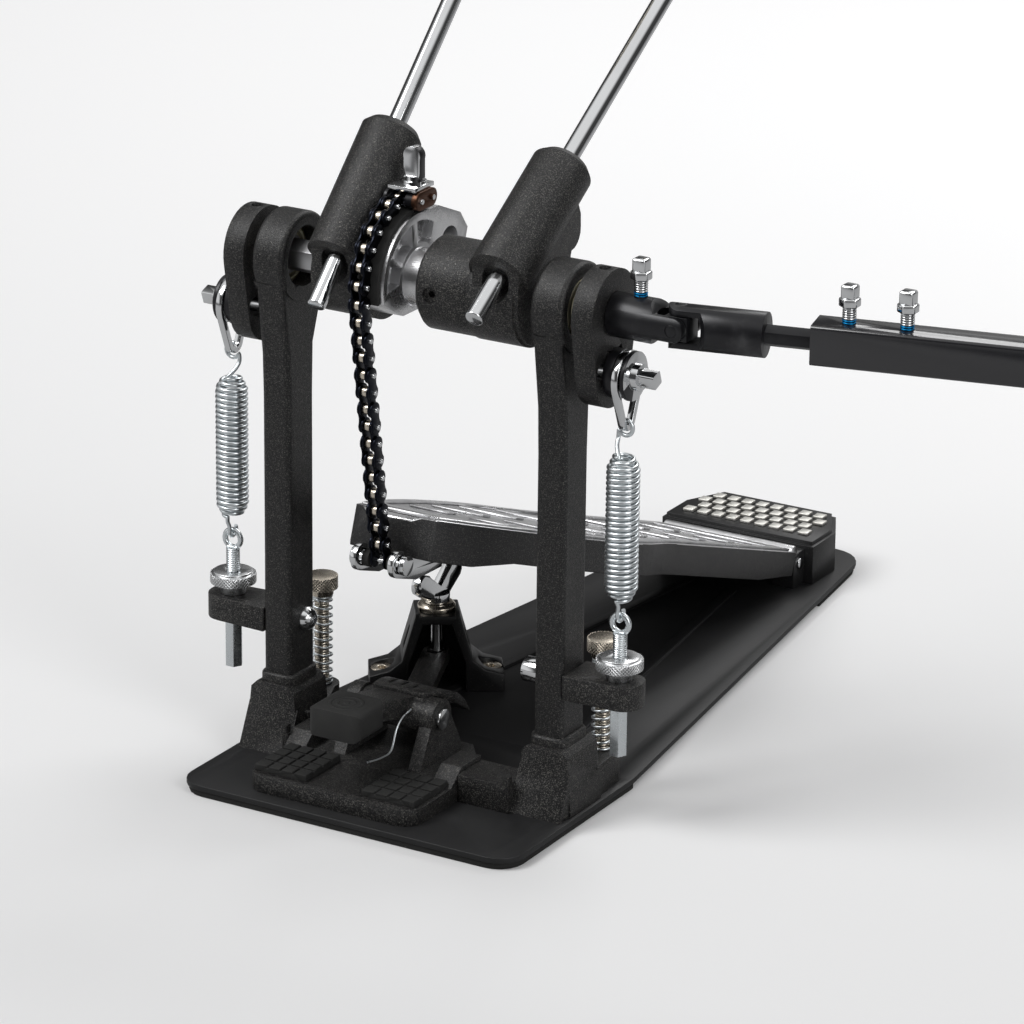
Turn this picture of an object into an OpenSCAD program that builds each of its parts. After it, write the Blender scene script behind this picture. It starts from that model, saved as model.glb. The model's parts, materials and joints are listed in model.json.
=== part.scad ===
// Double bass drum pedal, the main pedal with its slave beater and drive shaft.
// Millimetres. X runs along the axle to the drive shaft, Y towards the heel, Z up.
// The origin lies on the floor under the axle, midway between the posts.

/* [Base plate] */
// Thickness of the rubber sheets under the plate
pad_t = 3; // [2:0.5:4]
// Thickness of the steel plate
plate_t = 2.5; // [2:0.25:4]
// Half width of the plate at its front
plate_half = 83.5; // [80:0.5:90]
// Front edge of the plate, ahead of the axle
plate_front = 69.5; // [66:0.5:80]
// Back edge of the plate, behind the axle
plate_back = 338; // [335:1:350]
// Half width of the plate at its back edge
plate_back_half = 46; // [44:1:60]
// Where the plate starts to narrow, behind the axle
taper_start = 36; // [36:1:60]
// Length of the front rubber sheet behind the axle
front_pad_back = 20; // [14:1:40]
// Length of the heel rubber sheet
heel_pad_len = 62; // [50:1:90]
// Width of each ridge pressed in the plate
ridge_w = 5; // [3:0.5:8]
// Height of each ridge
ridge_h = 1.2; // [0.8:0.1:2]
// Distance of each ridge from the centre line at its front
ridge_x = 38; // [34:1:50]

/* [Posts] */
// Height of the axle over the floor
axle_z = 227; // [222:1:234]
// Distance between the post centres
post_span = 136; // [132:1:142]
// Radius of a post head
head_r = 19.5; // [17:0.5:21]
// Thickness of a post head
head_t = 15.5; // [14:0.5:18]
// Bore through a post head
head_bore_r = 12.85; // [11:0.05:14]
// Thickness of a post shank, across the pedal
shank_t = 14; // [12:0.5:15]
// Width of a post shank, along the pedal
shank_w = 20; // [17:0.5:24]
// Height of the collars that hold the posts
collar_z = 35; // [30:1:40]
// Width of a bearing
bearing_w = 7; // [6:0.5:9]
// Outer radius of the bush that turns in a bearing
bush_r = 8.6; // [7.8:0.1:10]

/* [Spring adjusters] */
// Height of the underside of the spring lugs
lug_z = 57; // [52:1:62]
// Thickness of the lugs
lug_t = 11; // [8:0.5:14]
// Distance of a spring from the centre of its post
spring_out = 29; // [27:0.5:33]
// Radius of an eye bolt
bolt_r = 3; // [2.5:0.1:3.4]
// Radius of a knurled nut
nut_r = 10.2; // [8:0.2:12]
// Height of the pivot where the spring hooks into its eye bolt
eye_z = 97; // [95:0.5:99]

/* [Springs] */
// Turns of a tension spring
spring_turns = 27; // [20:1:30]
// Radius of the spring at the middle of its wire
spring_r = 6.3; // [5.5:0.1:7]
// Thickness of the spring wire
spring_wire = 1.85; // [1.4:0.05:1.85]
// Height where the coils start
coil_z0 = 104; // [103:0.5:106]
// Height where the coils end
coil_z1 = 167.5; // [166:0.5:169]
// Turns of a spur spring
spur_turns = 11; // [8:1:14]
// Thickness of the spur spring wire
spur_wire = 1.2; // [0.8:0.1:1.4]

/* [Rockers] */
// Thickness of a rocker
rocker_t = 10; // [8:0.5:12]
// Gap between a post head and its rocker
rocker_gap = 4.25; // [3:0.25:6]
// Radius of a rocker round the axle
rocker_r = 19; // [17:0.5:21]
// Distance of the spring pin from the axle
rocker_arm = 25; // [24:0.5:26]
// Radius of the spring pin
pin_r = 3.4; // [3:0.1:3.8]
// Width of the strap that joins pin and spring
strap_w = 3; // [2:0.25:3.5]

/* [Axle and hub] */
// Width of the hex axle across its flats
hex_af = 12.7; // [11:0.1:13]
// Radius of the slave hub
hub_r = 20; // [18:0.5:22]
// Left end of the slave hub, to the right of the centre
hub_x0 = 5; // [4:0.5:8]
// Right end of the slave hub
hub_x1 = 53; // [50:0.5:57]
// Radius of the round end of the axle inside the hub
stub_r = 5.4; // [4.5:0.1:5.5]

/* [Beaters] */
// Radius of a beater rod
rod_r = 4; // [3.5:0.1:4.5]
// Length of a beater rod below the beater
rod_len = 205; // [170:5:230]
// Distance of the rods from the axle
rod_off = 19.3; // [18.5:0.1:21]
// Outer radius of a rod barrel
barrel_r = 13.5; // [11:0.5:14]
// Length of a barrel above the axle
barrel_top = 57; // [50:1:65]
// Length of rod that sticks out below the axle
rod_below = 31.6; // [28:0.2:36]
// Lean of the left beater from upright
lean_left = 45; // [35:1:55]
// Lean of the right beater from upright
lean_right = 57; // [45:1:60]
// Place of the left barrel along the axle
left_x = -33; // [-34:0.5:-32.5]
// Place of the right barrel along the axle
right_x = 44; // [42:0.5:45]
// Radius of a beater
beater_r = 24; // [20:1:28]
// Depth of a beater along its stroke
beater_len = 42; // [34:1:50]

/* [Chain and cam] */
// Pitch of the roller chain
pitch = 8; // [7.8:0.05:8.2]
// Links of the chain that hang free
free_links = 15; // [15:2:15]
// Links of the chain wrapped on the cam, past the three that leave it
wrap_links = 4; // [3:1:4]
// Radius of the chain's pins round the axle
cam_pitch_r = 33.5; // [32.5:0.1:34]
// Place of the chain across the pedal
chain_x = -13; // [-13.5:0.25:-12]
// Radius of a chain roller
roller_r = 2.5; // [2.3:0.1:2.7]
// Height of a chain plate
plate_h = 7; // [6.4:0.1:7.2]
// Thickness of a chain plate
link_t = 0.9; // [0.8:0.05:1]
// Inside width of the chain
chain_w = 3.2; // [3:0.1:3.4]
// Radius of a chain pin
chain_pin_r = 1.15; // [1:0.05:1.3]
// Thickness of the black strip under the chain
strip_t = 2; // [1.5:0.1:3]
// Width of the cam's rim
cam_w = 13.5; // [12:0.5:15]

/* [Footboard] */
// Place of the heel hinge behind the axle
hinge_y = 283; // [280:0.5:286]
// Height of the heel hinge
hinge_z = 17; // [16:0.5:18]
// Distance along the board from the heel hinge to the toe pin
toe_reach = 310.3; // [308:0.1:311]
// Depth of the toe pin under the line of the hinge
toe_drop = 15.9; // [15:0.1:18]
// Height of the board's top over the hinge
board_rise = 5.3; // [4.5:0.1:6.5]
// Thickness of the board at its side
board_t = 14.5; // [13:0.5:16]
// Thickness of the board's top wall
board_wall = 4; // [3:0.5:5]
// Half width of the board where it is widest
board_half = 49.5; // [46:0.5:51]
// Half width of the board at the heel
board_heel_half = 37.3; // [34:0.5:38]
// Half width of the board's nose
nose_half = 11; // [10:0.5:13]
// Sideways shift of the nose towards the chain
nose_shift = -13; // [-13.5:0.25:-12]

/* [Heel block] */
// Front face of the heel block
heel_y0 = 287.5; // [287:0.5:290]
// Back face of the heel block
heel_y1 = 331; // [326:1:333]
// Half width of the heel block
heel_half = 41; // [38:0.5:42]
// Height of the heel block's top
heel_z = 26.5; // [25:0.5:30]
// Width of a square stud on the heel
stud_w = 5.3; // [4:0.1:6]
// Distance from stud to stud
stud_pitch = 7.8; // [7.4:0.1:8.6]
// Height of the studs
stud_h = 1.5; // [1:0.1:2.5]

/* [Hoop clamp] */
// Sideways place of the hoop clamp
clamp_x = -11; // [-12:0.5:-10]
// Height of the pivot of the clamp lever
pivot_z = 32; // [31:0.5:34]
// Place of that pivot ahead of the axle
pivot_y = 5; // [4:0.5:6]
// Radius of the pivot pin
pivot_r = 3; // [2.5:0.1:3.5]
// Height of the clamp casting's floor
jaw_z = 13; // [11:0.5:14]
// Height of the rubber jaw pads
jaw_pad_t = 3; // [2:0.5:4]
// Angle of the wing screw's tower, seen from above
tower_turn = 34; // [30:1:38]
// Place of the wing screw behind the axle
screw_y = 85; // [83:0.5:88]
// Place of the wing screw across the pedal
screw_x = -46; // [-47:0.5:-45]
// Height of the wing screw's tower
tower_z = 42; // [40:0.5:44]
// Radius of the wing screw's shank
screw_r = 3; // [2.6:0.1:3.2]

/* [Spurs] */
// Radius of a spur's thread
spur_r = 3.2; // [2.8:0.1:3.4]
// Radius of a spur's knurled head
spur_head_r = 7.25; // [6:0.25:8]
// Top of a spur's head
spur_top = 71; // [66:1:76]
// Place of a spur outside its post's centre
spur_out = 3.5; // [2:0.5:5]
// Place of a spur behind the axle
spur_y = 29; // [28:0.5:31]

/* [Drive shaft] */
// Radius of the universal joints
yoke_r = 9.5; // [9:0.25:10]
// Distance from the rocker to the first joint's centre
yoke_reach = 31; // [30:0.5:35]
// Angle of the shaft towards the heel
shaft_turn = 13; // [0:1:16]
// Width of the sliding rod across its flats
rod_af = 8; // [7:0.1:8.5]
// Side of the square tube
tube_w = 17; // [15:0.5:18]
// Length of the square tube
tube_len = 112; // [100:1:140]
// Distance from the first joint to the tube
tube_start = 56; // [52:1:62]

/* [Clearances] */
// Radial gap of a turning fit
run_gap = 0.05; // [0.02:0.01:0.09]
// Gap between faces that pass each other
side_gap = 0.4; // [0.3:0.05:0.6]
// Gap round a screw in its hole
bolt_gap = 0.2; // [0.1:0.05:0.4]

/* [Hidden] */
$fn = 48;
eps = 0.01;

// Colours
black = [0.07, 0.07, 0.075];
satin_black = [0.1, 0.1, 0.105];
rubber_black = [0.045, 0.045, 0.048];
steel = [0.72, 0.72, 0.72];
chrome = [0.85, 0.86, 0.88];
zinc = [0.72, 0.77, 0.82];
nickel = [0.8, 0.76, 0.68];
blued = [0.16, 0.18, 0.22];
alloy = [0.78, 0.78, 0.78];
copper = [0.45, 0.3, 0.24];
felt = [0.86, 0.84, 0.78];

// Heights and places that follow from the sizes above
plate_top = pad_t + plate_t;
post_x = post_span / 2;
head_in = post_x - head_t / 2;
head_out = post_x + head_t / 2;
spring_x = post_x + spring_out;
rocker_x0 = head_out + rocker_gap;
rocker_x1 = rocker_x0 + rocker_t;
hex_r = hex_af / 2 / cos(30);
bearing_x0 = post_x + head_t / 2 - bearing_w - 0.5;
lug_top = lug_z + lug_t;

// Chain: the free run and the board's toe pin meet where two circles cross
step = 2 * asin(pitch / 2 / cam_pitch_r);
run_len = free_links * pitch;
run_reach = sqrt(cam_pitch_r * cam_pitch_r + run_len * run_len);
board_reach = sqrt(toe_reach * toe_reach + toe_drop * toe_drop);
axle_to_heel = [hinge_y, hinge_z - axle_z];
heel_dist = norm(axle_to_heel);
heel_dir = atan2(axle_to_heel[1], axle_to_heel[0]);
toe_open = acos((run_reach * run_reach + heel_dist * heel_dist - board_reach * board_reach)
    / (2 * run_reach * heel_dist));
toe_angle = heel_dir - toe_open;
toe_y = run_reach * cos(toe_angle);
toe_z = axle_z + run_reach * sin(toe_angle);
chain_lean = atan2(cam_pitch_r, run_len) - atan2(-toe_y, axle_z - toe_z);
board_slope = atan2(toe_z - hinge_z, hinge_y - toe_y) + atan2(toe_drop, toe_reach);

// Chain pin number k on the cam, counted from where the chain leaves it
function cam_pin(k) = let (a = -chain_lean + k * step)
    [-cam_pitch_r * cos(a), axle_z + cam_pitch_r * sin(a)];
function run_pin(k) = cam_pin(0) + k * pitch * [sin(chain_lean), -cos(chain_lean)];

// Points of an arc in the plane
function arc(c, r, a0, a1, n = 8) =
    [for (i = [0:n]) c + r * [cos(a0 + (a1 - a0) * i / n), sin(a0 + (a1 - a0) * i / n)]];

// Round tube of flat faces along a row of points, one unbroken body
function unit(v) = v / norm(v);
function tangents(p) = [for (i = [0:len(p) - 1])
    unit(p[min(i + 1, len(p) - 1)] - p[max(i - 1, 0)])];
function flat_to(n, t) = unit(n - (n * t) * t);
function side_vectors(t, n0) = [for (i = 0, n = flat_to(n0, t[0]); i < len(t);
    i = i + 1, n = i < len(t) ? flat_to(n, t[i]) : n) n];
module tube(p, r, sides, n0 = [1, 0, 0]) {
    t = tangents(p);
    n = side_vectors(t, n0);
    last = len(p) - 1;
    rings = [for (i = [0:last]) for (s = [0:sides - 1])
        p[i] + r * (cos(360 * s / sides) * n[i] + sin(360 * s / sides) * cross(t[i], n[i]))];
    walls = [for (i = [0:last - 1]) for (s = [0:sides - 1])
        let (a = i * sides + s, b = i * sides + (s + 1) % sides)
        each [[a, a + sides, b], [b, a + sides, b + sides]]];
    ends = [for (s = [1:sides - 2]) each [[0, s, s + 1],
        [last * sides, last * sides + s + 1, last * sides + s]]];
    polyhedron(rings, concat(walls, ends));
}
// Least distance between the surfaces of a tube's turns that don't follow each other
function least_gap(p, wire, apart) = min([for (i = [0:len(p) - 1])
    for (j = [i + apart:1:len(p) - 1]) norm(p[i] - p[j])]) - wire;

// A solid drawn in the plane of Y and Z and run along X, and one run along Y
module along_x(x0, x1) {
    translate([x0, 0, 0]) rotate([90, 0, 90]) linear_extrude(x1 - x0) children();
}
module along_y(y0, y1) {
    translate([0, y1, 0]) rotate([90, 0, 0]) linear_extrude(y1 - y0) children();
}
module rod_x(x0, x1, r, at = [0, 0], sides = 48) {
    translate([x0, at[0], at[1]]) rotate([0, 90, 0]) cylinder(h = x1 - x0, r = r, $fn = sides);
}
module rod_y(y0, y1, r, at = [0, 0], sides = 48) {
    translate([at[0], y1, at[1]]) rotate([90, 0, 0]) cylinder(h = y1 - y0, r = r, $fn = sides);
}
module rod_z(z0, z1, r, at = [0, 0], sides = 48) {
    translate([at[0], at[1], z0]) cylinder(h = z1 - z0, r = r, $fn = sides);
}
module both_sides() {
    children();
    mirror([1, 0, 0]) children();
}
// Outline round two circles of radii r1 and r2, a distance d apart down the page
module drop_shape(r1, r2, d) {
    a = asin((r1 - r2) / d);
    polygon(concat(arc([0, 0], r1, -a, 180 + a, 24), arc([0, -d], r2, 180 + a, 360 - a, 16)));
}
module round_rect(w, h, r) {
    polygon(concat(arc([w / 2 - r, h / 2 - r], r, 0, 90, 5), arc([r - w / 2, h / 2 - r], r, 90, 180, 5),
        arc([r - w / 2, r - h / 2], r, 180, 270, 5), arc([w / 2 - r, r - h / 2], r, 270, 360, 5)));
}

// Base
corner_r = 12;
tail_r = 18;
plate_hole_r = spur_r + 2;
spur_x = post_x + spur_out;
function plate_outline(inset = 0) = let (f = plate_half - inset, b = plate_back_half - inset,
    y0 = inset - plate_front, y1 = plate_back - inset) concat(
    arc([corner_r - f, y0 + corner_r], corner_r, 180, 270, 5),
    arc([f - corner_r, y0 + corner_r], corner_r, 270, 360, 5),
    [[f, taper_start]],
    arc([b - tail_r, y1 - tail_r], tail_r, 12, 90, 5),
    arc([tail_r - b, y1 - tail_r], tail_r, 90, 168, 5),
    [[-f, taper_start]]);
module plate_slice(y0, y1) {
    intersection() {
        polygon(plate_outline(0.8));
        translate([-plate_half, y0]) square([2 * plate_half, y1 - y0]);
    }
}
ridge_front = front_pad_back + 22;
ridge_back = heel_y0 - 26;
ridge_lean = 0.13;
module plate_ridges(room = 0) {
    drift = ridge_lean * (ridge_back - ridge_front);
    both_sides() translate([0, 0, plate_top - room]) linear_extrude(ridge_h + 2 * room)
        polygon([[ridge_x - room, ridge_front], [ridge_x + ridge_w + room, ridge_front],
            [ridge_x + ridge_w + room - drift, ridge_back], [ridge_x - room - drift, ridge_back]]);
}
module base_plate() {
    color(satin_black) {
        difference() {
            translate([0, 0, pad_t]) linear_extrude(plate_t) polygon(plate_outline());
            both_sides() rod_z(0, plate_top + 1, plate_hole_r, [spur_x, spur_y]);
        }
        plate_ridges();
    }
}
module base_pads() {
    color(rubber_black) {
        linear_extrude(pad_t) difference() {
            plate_slice(-plate_front, front_pad_back + 18);
            both_sides() translate([spur_x, spur_y]) circle(plate_hole_r);
        }
        linear_extrude(pad_t) plate_slice(plate_back - heel_pad_len, plate_back);
    }
}

// Sockets for the posts, joined by a ribbed bar across the pedal
socket_x0 = post_x - 13;
socket_x1 = post_x + 14;
socket_y0 = -16;
lobe_y1 = spur_y + spur_head_r + 0.5;
lobe_z = 20;
bar_z = 22;
bar_y0 = -26;
bar_y1 = -6;
shank_y = -3;
shank_gap = 0.1;
module shank_section(grow = 0) {
    translate([post_x, shank_y]) round_rect(shank_t + 2 * grow, shank_w + 2 * grow, 2.5);
}
module socket() {
    draft = 2.5;
    difference() {
        union() {
            along_y(socket_y0, socket_y0 + 26) polygon([[socket_x0, plate_top], [socket_x1, plate_top],
                [socket_x1 - draft, collar_z - 3], [socket_x1 - draft - 3, collar_z],
                [socket_x0 + draft + 3, collar_z], [socket_x0 + draft, collar_z - 3]]);
            along_x(socket_x0 + 1, socket_x1 - 1) polygon([[socket_y0 - 8, plate_top],
                [socket_y0 + 1, bar_z + 3], [socket_y0 + 1, plate_top]]);
            translate([0, 0, plate_top]) linear_extrude(lobe_z - plate_top) polygon(concat(
                [[socket_x0 + 1, 8], [socket_x1 - 1, 8]],
                arc([spur_x, spur_y], lobe_y1 - spur_y, -10, 190, 10)));
        }
        translate([0, 0, plate_top + 3]) linear_extrude(collar_z) shank_section(shank_gap);
        rod_z(plate_top - 1, lobe_z + 1, spur_r + bolt_gap, [spur_x, spur_y]);
    }
}
module base_casting() {
    color(black) {
        both_sides() socket();
        difference() {
            translate([-socket_x0 - 1, bar_y0, plate_top])
                cube([2 * socket_x0 + 2, bar_y1 - bar_y0, bar_z - plate_top - 4]);
            for (x = [clamp_x - 42, clamp_x + 22])
                translate([x, bar_y0 + 4, plate_top + 3]) cube([20, bar_y1 - bar_y0 - 8, bar_z]);
            translate([clamp_x - clamp_half - side_gap, bar_y0 - 1, plate_top - 1])
                cube([2 * clamp_half + 2 * side_gap, bar_y1 - bar_y0 + 2, bar_z]);
        }
        for (y = [bar_y0, bar_y1 - 3]) both_sides()
            translate([max(clamp_half - clamp_x, clamp_half + clamp_x) + 1, y, plate_top])
                cube([socket_x0 + 1 - max(clamp_half - clamp_x, clamp_half + clamp_x), 3, bar_z - plate_top]);
    }
}

// Posts
head_low = 62;
module post() {
    difference() {
        union() {
            translate([0, 0, plate_top + 3]) linear_extrude(axle_z - head_low - plate_top + 12)
                shank_section();
            along_x(head_in, head_out) translate([0, axle_z]) circle(head_r);
            along_x(post_x - shank_t / 2, post_x + shank_t / 2) polygon([
                [shank_y - shank_w / 2, axle_z - head_low], [shank_y + shank_w / 2, axle_z - head_low],
                [shank_y + shank_w / 2 + 0.6, axle_z - 40], [head_r * cos(32), axle_z - head_r * sin(32)],
                [head_r, axle_z], [-head_r, axle_z],
                [-head_r * cos(30), axle_z - head_r * sin(30)], [shank_y - shank_w / 2 - 0.6, axle_z - 42]]);
        }
        rod_x(head_in - 1, head_out + 1, head_bore_r, [0, axle_z]);
        rod_x(post_x - shank_t, post_x + shank_t, screw_r + bolt_gap, [lug_screw_y, lug_z + lug_t / 2]);
    }
}
module post_left() { color(satin_black) mirror([1, 0, 0]) post(); }
module post_right() { color(satin_black) post(); }
module bearing() {
    difference() {
        rod_x(bearing_x0, bearing_x0 + bearing_w, head_bore_r - eps, [0, axle_z]);
        rod_x(bearing_x0 - 1, head_out + 1, bush_r + run_gap, [0, axle_z]);
        for (x = [bearing_x0 - 1, bearing_x0 + bearing_w - 0.6]) difference() {
            rod_x(x, x + 1.6, head_bore_r - 1.4, [0, axle_z]);
            rod_x(x - 1, x + 3, bush_r + 1, [0, axle_z]);
        }
    }
}
module bearings() { color(steel) both_sides() bearing(); }

// Lugs that carry the spring bolts
lug_screw_y = shank_y + 2;
lug_y0 = -12;
lug_y1 = 6;
lug_end = spring_x + 11;
module lug() {
    x0 = post_x + shank_t / 2;
    difference() {
        translate([0, 0, lug_z]) linear_extrude(lug_t) polygon(concat(
            arc([lug_end - 8, lug_y0 + 8], 8, 270, 360, 5), arc([lug_end - 8, lug_y1 - 8], 8, 0, 90, 5),
            [[x0, lug_y1 + 2], [x0, lug_y0 - 1]]));
        rod_z(lug_z - 1, lug_top + 1, bolt_r + bolt_gap, [spring_x, shank_y]);
        rod_x(x0 - 1, x0 + 8, screw_r, [lug_screw_y, lug_z + lug_t / 2]);
    }
}
module spring_lugs() { color(black) both_sides() lug(); }
module lug_screw(head_len, head_round) {
    x0 = post_x - shank_t / 2;
    z = lug_z + lug_t / 2;
    difference() {
        union() {
            rod_x(x0 - 0.5, post_x + shank_t / 2 + 7.5, screw_r, [lug_screw_y, z]);
            if (head_round) {
                translate([x0, lug_screw_y, z]) rotate([0, -90, 0]) rotate_extrude()
                    polygon(concat([[0, 0]], arc([0, 0], head_len, 0, 90, 8)));
            } else {
                rod_x(x0 - head_len, x0, screw_r + 2.5, [lug_screw_y, z]);
            }
        }
        rod_x(x0 - head_len - 1, x0 - head_len + 2.5, 2.4, [lug_screw_y, z], 6);
    }
}
module lug_screws() {
    color(chrome) mirror([1, 0, 0]) lug_screw(5.5, true);
    color(chrome) lug_screw(10, false);
}
eye_ring_r = 4;
eye_wire_r = 1.25;
module eye_bolt() {
    eye_c = eye_z - eye_ring_r;
    rod_z(34, eye_c - eye_ring_r, bolt_r, [spring_x, shank_y]);
    rod_z(34, lug_z - 2, 4.04, [spring_x, shank_y], 6);
    translate([spring_x, shank_y, eye_c]) rotate([90, 0, 0]) rotate_extrude($fn = 40)
        translate([eye_ring_r, 0]) circle(eye_wire_r, $fn = 20);
}
module eye_bolts() { color(chrome) both_sides() eye_bolt(); }
module tension_nut() {
    difference() {
        union() {
            rod_z(lug_top, lug_top + 5, nut_r * 0.54, [spring_x, shank_y]);
            rod_z(lug_top + 5, lug_top + 9.4, nut_r, [spring_x, shank_y]);
            rod_z(lug_top + 9.4, lug_top + 10.4, nut_r - 1.6, [spring_x, shank_y]);
        }
        rod_z(lug_top - 1, lug_top + 12, bolt_r + bolt_gap, [spring_x, shank_y]);
    }
}
module tension_nuts() { color(chrome) both_sides() tension_nut(); }

// Hoop clamp: a jaw casting on the plate and a lever that the wing screw tips
clamp_half = 42.5;
clamp_front = -62;
ear_x0 = 16;
ear_t = 6;
ear_r = 8.5;
pad_w = 26;
pad_l = 28;
pad_y = -43;
pad_out = 27;
module clamp_floor() {
    w = clamp_half;
    polygon(concat(arc([clamp_x - w + 10, clamp_front + 10], 10, 180, 270, 5),
        arc([clamp_x + w - 10, clamp_front + 10], 10, 270, 360, 5),
        [[clamp_x + w, bar_y1], [clamp_x + ear_x0 + ear_t + 3, 17], [clamp_x - ear_x0 - ear_t - 3, 17],
        [clamp_x - w, bar_y1]]));
}
module clamp_casting() {
    color(black) difference() {
        union() {
            translate([0, 0, plate_top]) linear_extrude(jaw_z - plate_top) clamp_floor();
            for (s = [-1, 1]) along_x(clamp_x + s * (ear_x0 + ear_t / 2) - ear_t / 2,
                clamp_x + s * (ear_x0 + ear_t / 2) + ear_t / 2) {
                translate([-pivot_y, pivot_z]) circle(ear_r);
                polygon([[-pivot_y - 18, jaw_z - 1], [-pivot_y - ear_r, pivot_z - 2],
                    [-pivot_y + ear_r, pivot_z - 1], [-pivot_y + 19, jaw_z - 1]]);
            }
            for (s = [-1, 1]) along_x(clamp_x + s * (clamp_half - 5) - 5, clamp_x + s * (clamp_half - 5) + 5)
                polygon([[bar_y0 - 6, jaw_z - 1], [bar_y0 + 4, bar_z - 2], [bar_y1, bar_z - 2],
                    [bar_y1, jaw_z - 1]]);
        }
        rod_x(clamp_x - 40, clamp_x + 40, pivot_r, [-pivot_y, pivot_z]);
        for (s = [-1, 1]) translate([clamp_x + s * pad_out - pad_w / 2, pad_y - pad_l / 2, jaw_z - 2])
            cube([pad_w, pad_l, 5]);
    }
}
module clamp_pads() {
    cell = pad_w / 4;
    color(rubber_black) for (s = [-1, 1])
        translate([clamp_x + s * pad_out - pad_w / 2, pad_y - pad_l / 2, jaw_z - 2]) difference() {
            cube([pad_w, pad_l, jaw_pad_t + 2]);
            for (i = [1:3]) translate([i * cell - 0.5, -1, jaw_pad_t + 1]) cube([1, pad_l + 2, 2]);
            for (i = [1:3]) translate([-1, i * pad_l / 4 - 0.5, jaw_pad_t + 1]) cube([pad_w + 2, 1, 2]);
        }
}
module pivot_pins() {
    out = ear_x0 + ear_t;
    color(steel) {
        rod_x(clamp_x - out - 1, clamp_x + out, pivot_r, [-pivot_y, pivot_z]);
        rod_x(clamp_x + out, clamp_x + out + 1.6, pivot_r + 1.6, [-pivot_y, pivot_z]);
        rod_x(-hinge_ear_x1 - 1, hinge_ear_x1 + 1, hinge_pin_r, [hinge_y, hinge_z]);
    }
}

// Lever: a hub on the pin, a front arm with the rubber cap, a ribbed hood and a rear arm
hub_half = ear_x0 - side_gap;
lever_r = 7.5;
arm_z = 17;
arm_t = 5;
cap_y0 = -58;
cap_y1 = -35;
cap_z0 = 36;
cap_z1 = 49;
module clamp_lever() {
    back = [screw_x - clamp_x, screw_y + pivot_y];
    turn = atan2(-back[0], back[1]);
    color(black) difference() {
        union() {
            rod_x(clamp_x - hub_half, clamp_x + hub_half, lever_r, [-pivot_y, pivot_z]);
            along_x(clamp_x - 9, clamp_x + 9) polygon([[cap_y0 + 8, cap_z0 + 2], [cap_y0 + 8, cap_z0 + 9],
                [cap_y1 + 3, cap_z0 + 10], [-pivot_y + 1, pivot_z + lever_r], [-pivot_y, pivot_z - 2],
                [cap_y1 + 4, cap_z0 + 1]]);
            intersection() {
                along_x(clamp_x - hub_half, clamp_x + hub_half + 9) polygon(concat(
                    arc([-2, pivot_z - 14], 24, 100, 35, 8), [[22, pivot_z - 6], [8, pivot_z + 3],
                    [-pivot_y, pivot_z + 3]]));
                translate([0, 0, pivot_z - 14]) linear_extrude(40) polygon([[clamp_x - 12, -7],
                    [clamp_x + 12, -7], [clamp_x + 21, 8], [clamp_x + 21, 24], [clamp_x + 6, 24],
                    [clamp_x - 12, 12]]);
            }
            translate([clamp_x, -pivot_y, 0]) rotate(turn) intersection() {
                along_x(-6, 6) polygon([[-3, pivot_z - 4], [2, pivot_z + 5], [20, pivot_z - 2],
                    [48, arm_z + arm_t], [norm(back) + 9, arm_z + arm_t], [norm(back) + 9, arm_z],
                    [46, arm_z]]);
                linear_extrude(60) union() {
                    translate([-6, -8]) square([12, norm(back) + 8]);
                    translate([0, norm(back)]) circle(6);
                }
            }
        }
        rod_x(clamp_x - 40, clamp_x + 40, pivot_r + run_gap, [-pivot_y, pivot_z]);
        rod_x(clamp_x + hub_half, clamp_x + 40, ear_r + side_gap, [-pivot_y, pivot_z]);
        for (y = [-1.6, 1.6]) rod_z(0, 60, screw_r + 0.6, [screw_x, screw_y + y]);
        translate([screw_x - screw_r - 0.6, screw_y - 1.6, 0]) cube([2 * screw_r + 1.2, 3.2, 60]);
        for (x = [-6, 0, 6]) translate([clamp_x + x - 0.75, -2, pivot_z + lever_r + 1]) cube([1.5, 22, 6]);
    }
}
module rubber_cap() {
    w = 13;
    color(rubber_black) difference() {
        translate([clamp_x, 0, 0]) intersection() {
            along_y(cap_y0, cap_y1) translate([0, (cap_z0 + cap_z1) / 2])
                round_rect(2 * w, cap_z1 - cap_z0, 3.5);
            translate([0, (cap_y0 + cap_y1) / 2, cap_z0]) linear_extrude(20)
                round_rect(2 * w, cap_y1 - cap_y0, 4.5);
        }
        along_x(clamp_x - 9, clamp_x + 9) polygon([[cap_y0 + 8, cap_z0 + 2], [cap_y0 + 8, cap_z0 + 9],
            [cap_y1 + 3, cap_z0 + 10], [cap_y1 + 3, cap_z0 + 1]]);
    }
}
// Return spring wire that rides on the lever's hub
module clamp_wire() {
    x = clamp_x + 11;
    r = 0.7;
    path = [[x, -14, pivot_z + 4], [x, -19, pivot_z + 3], [x, -24, pivot_z - 1], [x, -28, pivot_z - 9],
        [x - 3, -31, pivot_z - 12], [x - 8, -35, pivot_z - 14]];
    color(steel) {
        tube(path, r, 6, [1, 0, 0]);
        rod_x(clamp_x + 9, x + r, 1.4, [-14, pivot_z + 4], 16);
    }
}

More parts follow.
